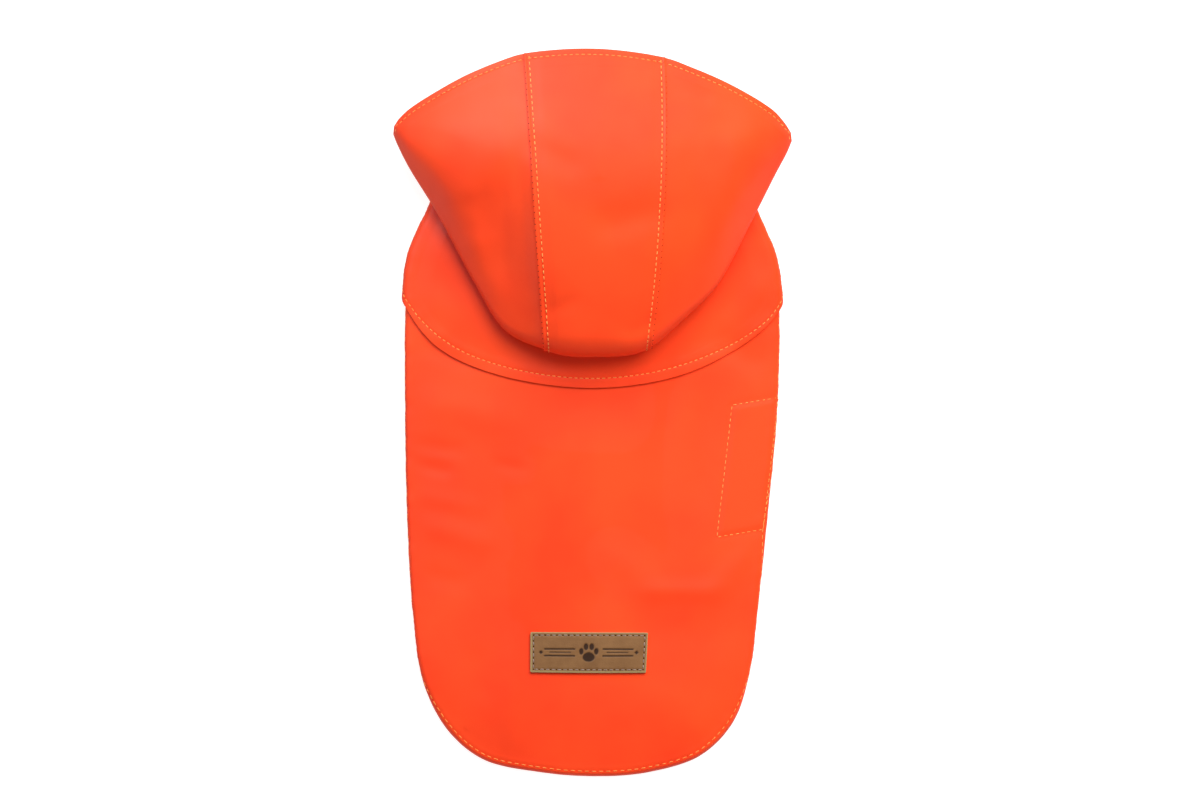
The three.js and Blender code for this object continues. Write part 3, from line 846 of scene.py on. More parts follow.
@dataclass
class StitchRow:
    """A row of stitches along points on the cloth, which are in order and close together."""

    BEDDED = 0.18  # how far a copy of the stitch is raised, as a share of its thickness

    points: Array
    normals: Array  # outward from the cloth
    pitch: float  # from one stitch to the next
    thread: float = 0.4  # the thread's thickness
    hole: float = 0.3  # width of the needle holes' painted shade
    sunk: float = 0.0  # how far the thread is drawn into the cloth
    fill: float = 0.6  # how much of the pitch the thread shows over
    proud: float = 0.05  # how far a needle hole's painted shade stands out of the cloth

    def matrices(self) -> list[tuple[Matrix, Matrix]]:
        """Gives where the thread and the needle hole's painted shade of each stitch go."""
        steps = np.linalg.norm(np.diff(self.points, axis=0), axis=1)
        run = np.concatenate([[0.0], np.cumsum(steps)])
        count = max(int(round(run[-1] / self.pitch)), 1)
        pitch = run[-1] / count
        places = []
        for index in range(count):
            middle = (index + 0.5) * pitch
            uneven = 1 + 0.05 * math.sin(index * 2.4) + 0.03 * math.sin(index * 5.1)
            half = pitch * self.fill * uneven / 2
            start, end = self._read(run, middle - half), self._read(run, middle + half)
            normal = unit(start[1] + end[1])
            centre = (start[0] + end[0]) / 2 - normal * self.sunk
            thread = self._frame(centre, end[0] - start[0], normal, half * 2, self.thread)
            gap = self._gap(run, middle + pitch / 2, pitch)
            places.append((thread, self._frame(*gap, self.hole, self.hole)))
        return places

    def _read(self, run: Array, at: float) -> tuple[Array, Array]:
        """Reads the row's point and normal.

        Args:
            run: The distances of the row's points along it.
            at: The distance to read at.

        Returns:
            The point and the normal, which isn't of unit length.
        """
        point, normal = (
            np.array([np.interp(at, run, values[:, axis]) for axis in range(3)])
            for values in (self.points, self.normals)
        )
        return point, normal

    def _gap(self, run: Array, at: float, pitch: float) -> tuple[Array, Array, Array]:
        """Gives the gap after a stitch.

        Args:
            run: The distances of the row's points along it.
            at: The distance of the gap's middle.
            pitch: The distance from one stitch to the next.

        Returns:
            Its place, its direction and the cloth's normal.
        """
        point, normal = self._read(run, at)
        before, after = self._read(run, at - pitch / 4)[0], self._read(run, at + pitch / 4)[0]
        return point + unit(normal) * self.proud, after - before, normal

    def _frame(
        self, centre: Array, along: Array, normal: Array, length: float, thick: float
    ) -> Matrix:
        """Gives the matrix that lays a copy of the stitch on the cloth.

        Args:
            centre: The copy's place.
            along: The direction that it lies in.
            normal: The cloth's normal.
            length: Its length.
            thick: Its width and height.

        Returns:
            The matrix, in metres.
        """
        x = unit(along)
        y = unit(np.cross(normal, x))
        z = np.cross(x, y)
        place = centre + z * thick * self.BEDDED
        columns = (x * length, y * thick, z * thick, place)
        rows = [[float(column[axis]) * MM for column in columns] for axis in range(3)]
        return Matrix([*rows, [0, 0, 0, 1]])


def sew(name: str, stitch: Stitch, rows: Sequence[StitchRow]) -> Object:
    """Copies the stitch along rows and joins the copies into one piece.

    Args:
        name: The piece's name.
        stitch: The stitch to copy.
        rows: The rows to sew.

    Returns:
        The piece, with one small closed mesh for each stitch.
    """
    pattern = stitch.pattern
    copies = []
    collection = bpy.context.scene.collection
    for thread_place, hole_shade_place in (place for row in rows for place in row.matrices()):
        copy = bpy.data.objects.new(name, pattern.data.copy())
        collection.objects.link(copy)
        for vertex in copy.data.vertices:
            place = thread_place if vertex.index < stitch.hole_shade_from else hole_shade_place
            vertex.co = place @ vertex.co
        copies.append(copy)
    select_only(copies[0])
    for copy in copies[1:]:
        copy.select_set(True)
    bpy.ops.object.join()
    copies[0].name = copies[0].data.name = name
    return copies[0]


# ---- Finishes ----


def colour(code: str) -> Quad:
    """Turns an sRGB hex colour into linear red, green and blue, with full cover."""
    parts = (int(code[at : at + 2], 16) / 255 for at in (1, 3, 5))
    red, green, blue = (p / 12.92 if p <= 0.04045 else ((p + 0.055) / 1.055) ** 2.4 for p in parts)
    return red, green, blue, 1.0


def per(size: float) -> float:
    """Gives a pattern's scale from the size of one of its marks in millimetres."""
    return 1 / (size * MM)


def add_node(
    tree: NodeTree,
    kind: str,
    settings: dict[str | int, object] | None = None,
    links: dict[str | int, NodeSocket] | None = None,
) -> Node:
    """Adds a shader node.

    Args:
        tree: The material's nodes.
        kind: The node's type, without the words that every type starts with.
        settings: Values of its properties or unlinked inputs. A ramp's "stops" are the places and
            hex colours of its two ends.
        links: The sockets that feed its inputs.

    Returns:
        The node.
    """
    node = tree.nodes.new(f"ShaderNode{kind}")
    for name, value in (settings or {}).items():
        if name == "stops":
            for element, (place, code) in zip(node.color_ramp.elements, value):
                element.position, element.color = place, colour(code)
        elif isinstance(name, str) and hasattr(node, name):
            setattr(node, name, value)
        else:
            node.inputs[name].default_value = value
    for name, socket in (links or {}).items():
        tree.links.new(socket, node.inputs[name])
    return node


@dataclass(frozen=True)
class Finish:
    """A material of one kind, made once and shared by the pieces that have it."""

    name: str

    def make(self) -> Material:
        """Makes the material."""
        material = bpy.data.materials.new(self.name)
        material.use_nodes = True
        tree = material.node_tree
        tree.nodes.clear()
        shader = self.shade(tree, add_node(tree, "TexCoord").outputs["Object"])
        add_node(tree, "OutputMaterial", links={"Surface": shader.outputs[0]})
        return material

    def shade(self, tree: NodeTree, place: NodeSocket) -> Node:
        """Adds the finish's own nodes.

        Args:
            tree: The material's nodes.
            place: The coat's own coordinates, which patterns lie on.

        Returns:
            The shader.
        """
        raise NotImplementedError


@dataclass(frozen=True)
class CoatedCloth(Finish):
    """Polyester rainwear cloth with a matt polyurethane coat, calendered smooth.

    The coat gives a broad soft gloss and hides the weave but for a faint grain. The dye shifts a
    little over a hand's width.
    """

    deep: str = "#f63f15"
    light: str = "#fe4b1b"
    roughness: float = 0.5
    grain: float = 0.55  # size of the weave's marks under the coat
    rub: float = 14.0  # size of the coat's own slow unevenness
    patch: float = 60.0  # size of the dye's shifts

    def shade(self, tree: NodeTree, place: NodeSocket) -> Node:
        """Mixes the dye's two shades, and roughens the coat with grain and slow unevenness."""
        dye, grain, rub = (
            add_node(tree, "TexNoise", {"Scale": per(size), "Detail": detail}, {"Vector": place})
            for size, detail in ((self.patch, 3.0), (self.grain, 2.0), (self.rub, 4.0))
        )
        stops = ((0.35, self.deep), (0.65, self.light))
        shades = add_node(tree, "ValToRGB", {"stops": stops}, {"Fac": dye.outputs["Fac"]})
        settings = {"Strength": 0.25, "Distance": 0.0004}
        slow = add_node(tree, "Bump", settings, {"Height": rub.outputs["Fac"]})
        fine = add_node(
            tree,
            "Bump",
            {"Strength": 0.12, "Distance": 0.00006},
            {"Height": grain.outputs["Fac"], "Normal": slow.outputs["Normal"]},
        )
        settings = {"To Min": self.roughness - 0.04, "To Max": self.roughness + 0.06}
        rough = add_node(tree, "MapRange", settings, {"Value": rub.outputs["Fac"]})
        return add_node(
            tree,
            "BsdfPrincipled",
            {"IOR": 1.46, "Specular IOR Level": 0.4, "Sheen Weight": 0.02, "Sheen Roughness": 0.45},
            {
                "Base Color": shades.outputs["Color"],
                "Roughness": rough.outputs["Result"],
                "Normal": fine.outputs["Normal"],
            },
        )


@dataclass(frozen=True)
class TwoShade(Finish):
    """A finish whose pattern goes from a deep to a light shade, and may stand out a little."""

    deep: str
    light: str
    mark: float  # size of the pattern's marks
    full_at: Pair  # the pattern's values where the deep and the light shade are full
    roughness: float
    relief: float = 0.0  # strength of the pattern's relief
    depth: float = 0.0001  # and its height, in metres
    hollow: bool = False  # whether the pattern goes in instead of out
    sheen: float = 0.0
    gloss: float = 0.5
    glow: float = 0.0

    def pattern(self, tree: NodeTree, place: NodeSocket) -> NodeSocket:
        """Adds the finish's pattern, small specks unless it has another, and gives its value."""
        specks = add_node(tree, "TexNoise", {"Scale": per(self.mark)}, {"Vector": place})
        return specks.outputs["Fac"]

    def shade(self, tree: NodeTree, place: NodeSocket) -> Node:
        """Shades and embosses the surface by its pattern."""
        value = self.pattern(tree, place)
        stops = sorted(zip(self.full_at, (self.deep, self.light)))
        shades = add_node(tree, "ValToRGB", {"stops": stops}, {"Fac": value})
        links = {"Base Color": shades.outputs["Color"]}
        if self.relief:
            settings = {"invert": self.hollow, "Strength": self.relief, "Distance": self.depth}
            bump = add_node(tree, "Bump", settings, {"Height": value})
            links["Normal"] = bump.outputs["Normal"]
        settings = {
            "Roughness": self.roughness,
            "Sheen Weight": self.sheen,
            "Specular IOR Level": self.gloss,
            "Emission Strength": self.glow,
        }
        return add_node(tree, "BsdfPrincipled", settings, links)


@dataclass(frozen=True)
class WovenBacking(TwoShade):
    """The bare woven side of the rainwear cloth: matt, with its yarns showing as a fine grid."""

    deep: str = "#d84a22"
    light: str = "#ee6a3c"
    mark: float = 0.9  # a yarn, drawn about twice as coarse as it is, so that it shows
    full_at: Pair = (0.3, 0.9)
    roughness: float = 0.85
    relief: float = 0.5
    sheen: float = 0.25

    def pattern(self, tree: NodeTree, place: NodeSocket) -> NodeSocket:
        """Weaves two sets of waves, the warp and the weft, into bands."""
        yarns = []
        for axis in ("X", "Y"):
            settings = {"bands_direction": axis, "Scale": per(self.mark) / WAVE_BANDS}
            settings["Distortion"] = 0.4
            yarns.append(add_node(tree, "TexWave", settings, {"Vector": place}).outputs["Fac"])
        weave = add_node(tree, "Math", {"operation": "MAXIMUM"}, {0: yarns[0], 1: yarns[1]})
        return weave.outputs[0]


@dataclass(frozen=True)
class CutEdge(TwoShade):
    """The cloth's cut edge, where pale yarn ends show between the coat and the backing."""

    deep: str = "#b98a7c"
    light: str = "#d9b5a6"
    mark: float = 0.6
    full_at: Pair = (0.35, 0.65)
    roughness: float = 0.8
    relief: float = 0.4
    sheen: float = 0.2


@dataclass(frozen=True)
class SewingThread(TwoShade):
    """Spun polyester sewing thread, whose plies give it a soft sheen and light and dark turns."""

    deep: str = "#f08a32"
    light: str = "#ffb45c"
    mark: float = 0.5
    full_at: Pair = (0.35, 0.7)
    roughness: float = 0.6
    relief: float = 0.3
    sheen: float = 0.3


@dataclass(frozen=True)
class NeedleHoleShade(TwoShade):
    """Painted shade in a needle hole: the cloth's colour as in deep shade, uneven between holes."""

    deep: str = "#5a0d05"
    light: str = "#8c1c0a"
    mark: float = 2.0
    full_at: Pair = (0.3, 0.7)
    roughness: float = 0.95
    gloss: float = 0.1


@dataclass(frozen=True)
class HookAndLoop(TwoShade):
    """Nylon hook and loop tape: a matt pile or a bed of tiny hooks, painted light at their tips."""

    deep: str = "#9c2f12"
    light: str = "#e8653a"
    mark: float = 1.1  # a tuft, drawn a little coarser than it is, so that it shows
    # the pattern paints light on the tufts and shade in the hollows between them
    full_at: Pair = (0.7, 0.0)
    roughness: float = 0.9
    relief: float = 0.9
    depth: float = 0.0004
    hollow: bool = True
    sheen: float = 0.5

    def pattern(self, tree: NodeTree, place: NodeSocket) -> NodeSocket:
        """Scatters tufts over the tape."""
        settings = {"Scale": per(self.mark), "Randomness": 0.7}
        return add_node(tree, "TexVoronoi", settings, {"Vector": place}).outputs["Distance"]


@dataclass(frozen=True)
class LightTable(TwoShade):
    """A matt white light table with a barely uneven tone, whose glow keeps shadows on it faint."""

    deep: str = "#a6a6a5"
    light: str = "#ababaa"
    mark: float = 400.0
    full_at: Pair = (0.3, 0.7)
    roughness: float = 0.9
    glow: float = 0.9


@dataclass(frozen=True)
class LabelHide(Finish):
    """Vegetable-tanned cowhide, dull with wax: fine pores, mottled brown, dark pressed marks."""

    deep: str = "#74522f"
    light: str = "#83603a"
    pressed: str = "#2e1a0b"
    rubbed: str = "#97875c"
    pore: float = 0.7
    mottle: float = 7.0

    def shade(self, tree: NodeTree, place: NodeSocket) -> Node:
        """Mottles the hide, pales its rubbed edge, darkens its pressed marks and adds its pores."""
        mottle = add_node(
            tree, "TexNoise", {"Scale": per(self.mottle), "Detail": 5.0}, {"Vector": place}
        )
        pores = add_node(tree, "TexVoronoi", {"Scale": per(self.pore)}, {"Vector": place})
        stops = ((0.3, self.deep), (0.7, self.light))
        shades = add_node(tree, "ValToRGB", {"stops": stops}, {"Fac": mottle.outputs["Fac"]})
        base = shades.outputs["Color"]
        for mark, shade in (("rubbed", self.rubbed), ("pressed", self.pressed)):
            cover = add_node(tree, "Attribute", {"attribute_name": mark})
            marked = add_node(
                tree,
                "Mix",
                {"data_type": "RGBA", MIX_SECOND: colour(shade)},
                {MIX_SHARE: cover.outputs["Fac"], MIX_FIRST: base},
            )
            base = marked.outputs[MIX_RESULT]
        settings = {"Strength": 0.35, "Distance": 0.00015}
        bump = add_node(tree, "Bump", settings, {"Height": pores.outputs["Distance"]})
        return add_node(
            tree,
            "BsdfPrincipled",
            {"Roughness": 0.62, "IOR": 1.48},
            {"Base Color": base, "Normal": bump.outputs["Normal"]},
        )


class Finishes:
    """The coat's materials, made once."""

    def __init__(self) -> None:
        """Makes every material."""
        self.coat = CoatedCloth("coated_polyester_cloth").make()
        self.edge = CutEdge("cut_cloth_edge").make()
        self.backing = WovenBacking("woven_polyester_backing").make()
        self.thread = SewingThread("polyester_thread").make()
        self.label_thread = SewingThread("waxed_label_thread", "#7b6a60", "#a08d82").make()
        # the needle holes' dark lenses are painted shade
        self.hole = NeedleHoleShade("needle_hole_shade").make()
        self.label_hole_shade = NeedleHoleShade("label_needle_hole_shade", "#1f120a", "#3a2415").make()
        self.tape = HookAndLoop("nylon_hook_and_loop").make()
        self.hide = LabelHide("vegetable_tanned_hide").make()
        self.hide_edge = LabelHide("cut_hide_edge", "#8b7a58", "#b7a57e").make()
        self.table = LightTable("white_acrylic_light_table").make()

    @property
    def turned(self) -> Layers:
        """Gives the face, rim and back of a cloth sheet whose edges are folded under."""
        return self.coat, self.coat, self.backing

    @property
    def bound(self) -> Layers:
        """Gives the face, rim and back of a cloth sheet whose cut edge shows."""
        return self.coat, self.edge, self.backing


# ---- Pieces of the coat ----


@dataclass
class Sewn:
    """Something sewn into the coat: what its pieces follow, ride on, stand for and are made of."""

    finishes: Finishes
    stitch: Stitch
    form: BackForm | HoodForm
    made: list[str] = field(default_factory=list)

    def place(self, piece: Object, slot: Slot, *nodes: str) -> Object:
        """Lets a piece ride on the coat's body and stand for its nodes in the frame.

        Args:
            piece: The piece.
            slot: Its material slot in the coat's record; not used.
            nodes: The frame's nodes that it stands for.

        Returns:
            The piece.
        """
        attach(piece, BODY)
        if nodes:
            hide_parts(*nodes)
        self.made.append(piece.name)
        return piece

    def sew_rows(self, name: str, rows: Sequence[StitchRow], slot: Slot = Slot.CLOTH) -> Object:
        """Sews rows of stitches as one piece."""
        return self.place(sew(name, self.stitch, rows), slot)


def hem_shape(run: Array, row: Array | float, along: Array, pucker: float = 0.09) -> Array:
    """Gives how far a hem's face stands out, padded by its turned cloth and drawn in by thread.

    Args:
        run: Distances in from the edge.
        row: The stitch row's distance in from the edge.
        along: Distances along the edge.
        pucker: The height of the cloth's waves along the row.

    Returns:
        The lifts.
    """
    padded = HEM_PAD * hump(run, row * 0.5, row * 0.35)
    drawn = -HEM_DRAWN * hump(run, row, HEM_GROOVE)
    past_turn = ease(run, HEM_TURN - HEM_TURN_SOFT, HEM_TURN + HEM_TURN_SOFT)
    turned = HEM_STEP * (1 - past_turn) * ease(run, row, row + 1.0)
    waves = pucker * waver(along, HEM_WAVES) * hump(run, row, HEM_WAVE_REACH)
    return padded + drawn + turned + waves


@dataclass
class BackPanel(Sewn):
    """The back panel, from the neckline to the rounded tail, with its turned hem."""

    corners: Pair = (0.405, 0.6)  # shares of the hem at the grid's lower corners
    across: int = 112
    along: int = 196
    pitch: float = 3.7
    row_near: float = 3.5  # the stitch row's distance from the edge along the sides
    row_far: float = 5.9  # and round the tail and by the tape
    tail_wide: Pair = (-160.0, -112.0)  # it narrows between these y of the tail
    tape_wide: Triple = (-86.0, -60.0, -30.0)  # it is widest at the second
    right_side: Pair = (0.5, 0.6)  # shares where the right side takes over

    def row_inset(self, share: Array) -> Array:
        """Gives the stitch row's distance from the edge, wider round the tail and by the tape.

        Args:
            share: Shares of the hem line's length.

        Returns:
            The distances.
        """
        y = self.form.hem.at(share)[..., 1]
        start, widest, end = self.tape_wide
        by_tape = ease(share, *self.right_side) * ease(y, start, widest)
        by_tape = by_tape * (1 - ease(y, widest, end))
        wide = np.maximum(1 - ease(y, *self.tail_wide), by_tape)
        return mix(self.row_near, self.row_far, wide)

    def hem_points(self, share: Array, run: Array) -> Array:
        """Gives points of the finished hem, from shares of its length and runs in from its edge."""
        along = share * self.form.hem.length
        return self.form.over_hem(share, run, hem_shape(run, self.row_inset(share), along))

    def grid(self) -> tuple[Array, Array]:
        """Lays rings along the hem, and fills the panel inside them.

        Returns:
            The points, from the tail up, and where they are on the turned hem.
        """
        rings = len(HEM_RUNS) - 1
        across, along = self.across + 2 * rings, self.along + rings
        left, right = self.corners
        j, i = np.meshgrid(np.arange(along + 1), np.arange(across + 1), indexing="ij")
        ring = np.minimum(np.minimum(i, across - i), along - j)
        ring = np.minimum(ring, rings)
        down = j / (along - ring)
        tail = left + (right - left) * (i - ring) / (across - 2 * ring)
        on_right = np.where(across - i == ring, 1 - (1 - right) * down, tail)
        share = np.where(i == ring, left * down, on_right)
        points = self.hem_points(share, HEM_RUNS[ring])
        inside = np.s_[: along - rings + 1, rings : across - rings + 1]
        points[inside] = self._fill(points[inside])
        return points[::-1], (HEM_RUNS[ring] < HEM_TURN)[::-1]

    def _fill(self, edge: Array) -> Array:
        """Fills the grid inside the rings, between its three ringed edges and the neckline.

        Args:
            edge: The grid's points, of which those on its left, right and lower edge are known.

        Returns:
            All of its points.
        """
        rows, columns = edge.shape[:2]
        v, u = np.meshgrid(np.linspace(0, 1, rows), np.linspace(0, 1, columns), indexing="ij")
        west, east, south = edge[:, :1, :2], edge[:, -1:, :2], edge[-1:, :, :2]
        north_x = mix(edge[0, 0, 0], edge[0, -1, 0], u[:1])
        north = stack(north_x, self.form.neck_y(north_x, self.form.nape_dip))
        north[0, 0], north[0, -1] = edge[0, 0, :2], edge[0, -1, :2]
        u, v = u[..., None], v[..., None]
        corners = mix(*(mix(row[:, :1], row[:, -1:], u) for row in (north, south)), v)
        place = mix(west, east, u) + mix(north, south, v) - corners
        x, y = place[..., 0], place[..., 1]
        share, inward = self.form.hem.nearest(x, y)
        run = inward + HEM_WIDTH - inward[0, 0]
        lift = hem_shape(run, self.row_inset(share), share * self.form.hem.length)
        filled = stack(x, y, self.form.rise(x, y, inward) + lift)
        filled[:, [0, -1]] = edge[:, [0, -1]]
        filled[-1] = edge[-1]
        return filled

    def build(self) -> None:
        """Makes the panel and its hem stitches."""
        points, hem = self.grid()
        sheet = ClothSheet("back_panel_cloth", points, self.finishes.turned, hem).build()
        self.place(sheet, Slot.CLOTH, "back_panel")
        share = np.linspace(*ROW_ENDS, int(self.form.hem.length))
        row = self.row_inset(share)
        normals = face_normals(self.hem_points, share, row, (ALONG_STEP, 0.4))
        rows = [StitchRow(self.hem_points(share, row), normals, self.pitch)]
        stitches = self.sew_rows("back_panel_hem_stitches", rows)


@dataclass
class ShoulderCape(Sewn):
    """The crescent cape over the shoulders, from the neckline to its free edge."""

    stand: float = 1.0  # how far it stands off the back's hems where it passes over them
    columns: int = 190
    rows: int = 52
    row_inset: float = 5.0  # the stitch row's distance from the edge
    side_inset: float = 1.4  # and at the cape's two sides
    row_runs_out: Quad = (0.165, 0.29, 0.6, 0.83)  # shares: it comes in, is in, goes out, is out
    turning: float = 7.0  # how soon its grid turns from the hem's way to the neckline's
    fold_margin: float = 14.0  # how far in from the edge the folds come to their full height
    pitch: float = 2.9
    hem_cloth: float = 1.05
    edge_lift: float = 1.3  # height of its face over the back's at its edge
    rests_from: Pair = (4.0, 22.0)  # from where to where it comes to its full height
    folds: tuple[Fold, ...] = (
        Fold((-96, 60), (-60, 52), 10.0, 0.4),
        Fold((-86, 104), (-44, 34), 11.0, 1.5),
        Fold((62, 40), (98, 74), 9.0, 0.7),
        Fold((44, 30), (84, 62), 8.0, -0.5),
    )
    places: tuple[Pair, ...] = (
        (-80.0, 127), (-87.0, 109.5), (-97.3, 86), (-101.0, 68), (-96.5, 53.5), (-80.4, 34),
        (-49.5, 20), (0, 13.1), (46.8, 20), (82.4, 38.3), (96.8, 52.5), (101.0, 66),
        (97.4, 84), (87.6, 106.5), (81.0, 127),
    )

    def __post_init__(self) -> None:
        """Lays the free edge."""
        self.edge = PlanLine(self.places)

    def reach(self, share: Array) -> Array:
        """Gives how far it is in plan from the cape's hem to the neckline."""
        gap = self.form.nape(share) - self.edge.at(share, HEM_WIDTH)
        return np.linalg.norm(gap, axis=-1)

    def flat_place(self, share: Array, inset: Array) -> Array:
        """Gives flat places on the cape, which keep to its edge for the hem.

        Args:
            share: Shares of its edge.
            inset: Distances in from the edge, on to the neckline.

        Returns:
            Their x and y.
        """
        past = np.maximum(inset - HEM_WIDTH, 0.0)
        turned = self.turning * (1 - np.exp(-past / self.turning))
        near = self.edge.at(share, np.minimum(inset, HEM_WIDTH) + turned)
        on = np.clip(past / self.reach(share), 0.0, 1.0)[..., None]
        return mix(near, self.form.nape(share), on**2 * (2 - on))

    def surface(self, share: Array, inset: Array) -> Array:
        """Gives points of the cape's face as if it had no thickness, from what flat_place takes."""
        x, y = np.moveaxis(self.flat_place(share, inset), -1, 0)
        points = self.form.laid_over(x, y, self.stand)
        points[..., 2] += fold_height(self.folds, x, y) * ease(inset, 0, self.fold_margin)
        return points

    def row_at(self, share: Array) -> Array:
        """Gives the stitch row's distance in from the edge, which it nears at the two sides."""
        left, left_full, right_full, right = self.row_runs_out
        full = ease(share, left, left_full) * (1 - ease(share, right_full, right))
        return mix(self.side_inset, self.row_inset, full)

    def lifts(self, share: Array, inset: Array) -> Array:
        """Gives how far the cape's face stands off the back panel's."""
        resting = mix(self.edge_lift, LAYER + GAP, ease(inset, *self.rests_from))
        return resting + hem_shape(inset, self.row_at(share), share * self.edge.length)

    def build(self) -> None:
        """Makes the cape and the stitches along its edge."""
        share = np.linspace(0, 1, self.columns + 1)
        hem = HEM_RUNS[:, None] + 0 * share[None, :]
        on = np.linspace(0, 1, self.rows + 1)[1:, None]
        inset = np.vstack([hem, HEM_WIDTH + on * self.reach(share)[None, :]])
        share = np.broadcast_to(share, inset.shape)
        base = self.surface(share, inset)
        points = base + grid_normals(base) * self.lifts(share, inset)[..., None]
        turned, layers = inset < HEM_TURN, self.finishes.bound
        cloth = ClothSheet("shoulder_cape_cloth", points, layers, turned, hem_cloth=self.hem_cloth)
        sheet = self.place(cloth.build(), Slot.CLOTH, "shoulder_cape")
        along = np.linspace(*ROW_ENDS, int(self.edge.length))
        row = self.row_at(along)
        normals = face_normals(self.surface, along, row, (ALONG_STEP, 0.5))
        line = self.surface(along, row) + normals * self.lifts(along, row)[:, None]
        rows = [StitchRow(line, normals, self.pitch)]
        stitches = self.sew_rows("shoulder_cape_edge_stitches", rows)


@dataclass
class Hood(Sewn):
    """The hood: a centre strip from the face edge to the nape, lapped over two side panels."""

    face_row: float = 3.0  # the face edge's stitch row, in from the edge
    strip_rows: Pair = (0.3, 2.6)  # the strip's two rows, in from each seam
    thread: float = 0.4
    seam_thread: float = 0.52
    # width of the painted shade of the needle holes in the seam
    edge_hole_shade: float = 0.6
    pucker: float = 0.03
    pitch: float = 3.1
    strip_hem_cloth: float = 0.85
    strip_lift: Pair = (0.85, 1.15)  # height of its face at the edges and inside
    strip_level: Pair = (2.0, 12.0)  # from where to where it comes to that height
    strip_crown: float = 1.03  # how much longer it is over the strip than straight across
    edge_ridge: Triple = (0.24, 0.9, 0.5)  # rise, place and half width
    edge_groove: Triple = (0.22, 1.8, 0.6)  # fall, place and half width
    gore_width: float = 16.0  # from one gore line to the next
    shortest_top: float = 12.0
    close_share: float = 0.85  # most of a gore line on top that the hem's close rows may take
    top_rows: int = 84
    roll_rows: int = 26
    under_rows: int = 34
    strip_columns: int = 40
    side_columns: int = 66
    strip_edge: tuple[float, ...] = (0, 0.3, 0.6, 0.9, 1.3, 1.7, 2.1, 2.6, 3.1, 3.7, 4.6, 6.2)
    flats: tuple[Triple, ...] = (
        # width, length and area of the left, right and centre panel as they are cut
        (0.118, 0.232, 0.0142),
        (0.118, 0.232, 0.0142),
        (0.078, 0.275, 0.0182),
    )

    def length_on_top(self, gore: Array) -> Array:
        """Gives the length of gore lines on top, which is never taken as next to nothing."""
        return np.maximum(self.form.top_length(gore), self.shortest_top)

    def runs(self, gore: Array) -> tuple[Array, Array]:
        """Gives the rows' runs on gore lines, close together along the face edge.

        Args:
            gore: The gore lines.

        Returns:
            The runs, a row for each step round the hood, and their distances from the face edge.
        """
        near = HEM_RUNS[:, None]
        hem = np.minimum(near / self.length_on_top(gore), self.close_share * near / HEM_WIDTH)
        top, turn, under = (
            np.linspace(0, 1, rows + 1)[1:, None] + 0 * gore
            for rows in (self.top_rows, self.roll_rows, self.under_rows)
        )
        run = np.vstack([hem, hem[-1:] + (1 - hem[-1:]) * top, 1 + turn, 2 + under])
        away = np.full(run.shape, FAR)
        away[: len(near)] = near
        return run, away

    def lifted(self, gore: Array, run: Array, away: Array, face: Array | float = 0.0) -> Array:
        """Gives points of a panel's face, with the face edge's hem on it.

        Args:
            gore: The gore lines of the panel's grid, whose rows run back round the hood.
            run: The runs along them.
            away: The distances from the face edge.
            face: How far the face stands off the hood's form.

        Returns:
            The points.
        """
        points = self.form.at(gore, run)
        hem = hem_shape(away, self.face_row, gore * self.gore_width, self.pucker)
        lift = face + hem * (away < FAR)
        return points - grid_normals(points) * lift[..., None]

    def panel(self, word: str, points: Array, away: Array, hem_cloth: float) -> Object:
        """Makes one of the hood's panels.

        Args:
            word: The word for the panel in its names.
            points: The points of its face.
            away: Their distances from the face edge.
            hem_cloth: The thickness of its hem.

        Returns:
            The panel.
        """
        hem, layers = (away < HEM_TURN)[::-1], self.finishes.turned
        sheet = ClothSheet(f"hood_{word}_cloth", points[::-1], layers, hem, hem_cloth=hem_cloth)
        return self.place(sheet.build(), Slot.CLOTH, f"hood_{word}")

    def side_panel(self, side: int) -> Object:
        """Makes a side panel, which runs a little way under the strip.

        Args:
            side: The left (-1) or right (1) one.

        Returns:
            The panel.
        """
        form = self.form
        ends = sorted((side * form.tip, side * (form.seam - form.lap)))
        gore = np.linspace(*ends, self.side_columns + 1)
        run, away = self.runs(gore)
        points = self.lifted(np.broadcast_to(gore, run.shape), run, away)
        return self.panel("left" if side < 0 else "right", points, away, HEM_CLOTH)

    def strip_gore(self, inset: Array, run: Array, side: int) -> Array:
        """Gives gore lines on the centre strip.

        Args:
            inset: How far they are inside the strip's edge.
            run: The runs where they are that far inside.
            side: The left (-1) or right (1) edge.

        Returns:
            The gore lines.
        """
        seam = self.form.seam
        edges = self.form.at(np.array([-seam, seam])[:, None] + 0 * run, run)
        width = np.linalg.norm(edges[0] - edges[1], axis=-1) * self.strip_crown
        return side * (seam - inset * 2 * seam / width)

    def strip_face(self, inset: Array) -> Array:
        """Gives how far the strip's face stands off the hood's form, from distances to an edge."""
        (rise, *ridge), (fall, *groove) = self.edge_ridge, self.edge_groove
        sewn = rise * hump(inset, *ridge) - fall * hump(inset, *groove)
        return mix(*self.strip_lift, ease(inset, *self.strip_level)) + sewn

    def centre_strip(self) -> Object:
        """Makes the centre strip, with close columns along its sewn edges."""
        run, away = (values[:, 0] for values in self.runs(np.array([0.0])))
        edge = self.strip_edge
        near, far = (
            [self.strip_gore(np.full(run.shape, inset), run, side) for inset in insets]
            for side, insets in ((-1, edge), (1, edge[::-1]))
        )
        middle = [mix(near[-1], far[0], t) for t in np.linspace(0, 1, self.strip_columns + 1)[1:-1]]
        gore = np.stack([*near, *middle, *far], axis=1)
        run, away = (np.broadcast_to(values[:, None], gore.shape) for values in (run, away))
        inset = np.array([*edge, *[FAR] * len(middle), *edge[::-1]])
        points = self.lifted(gore, run, away, self.strip_face(inset))
        return self.panel("centre", points, away, self.strip_hem_cloth)

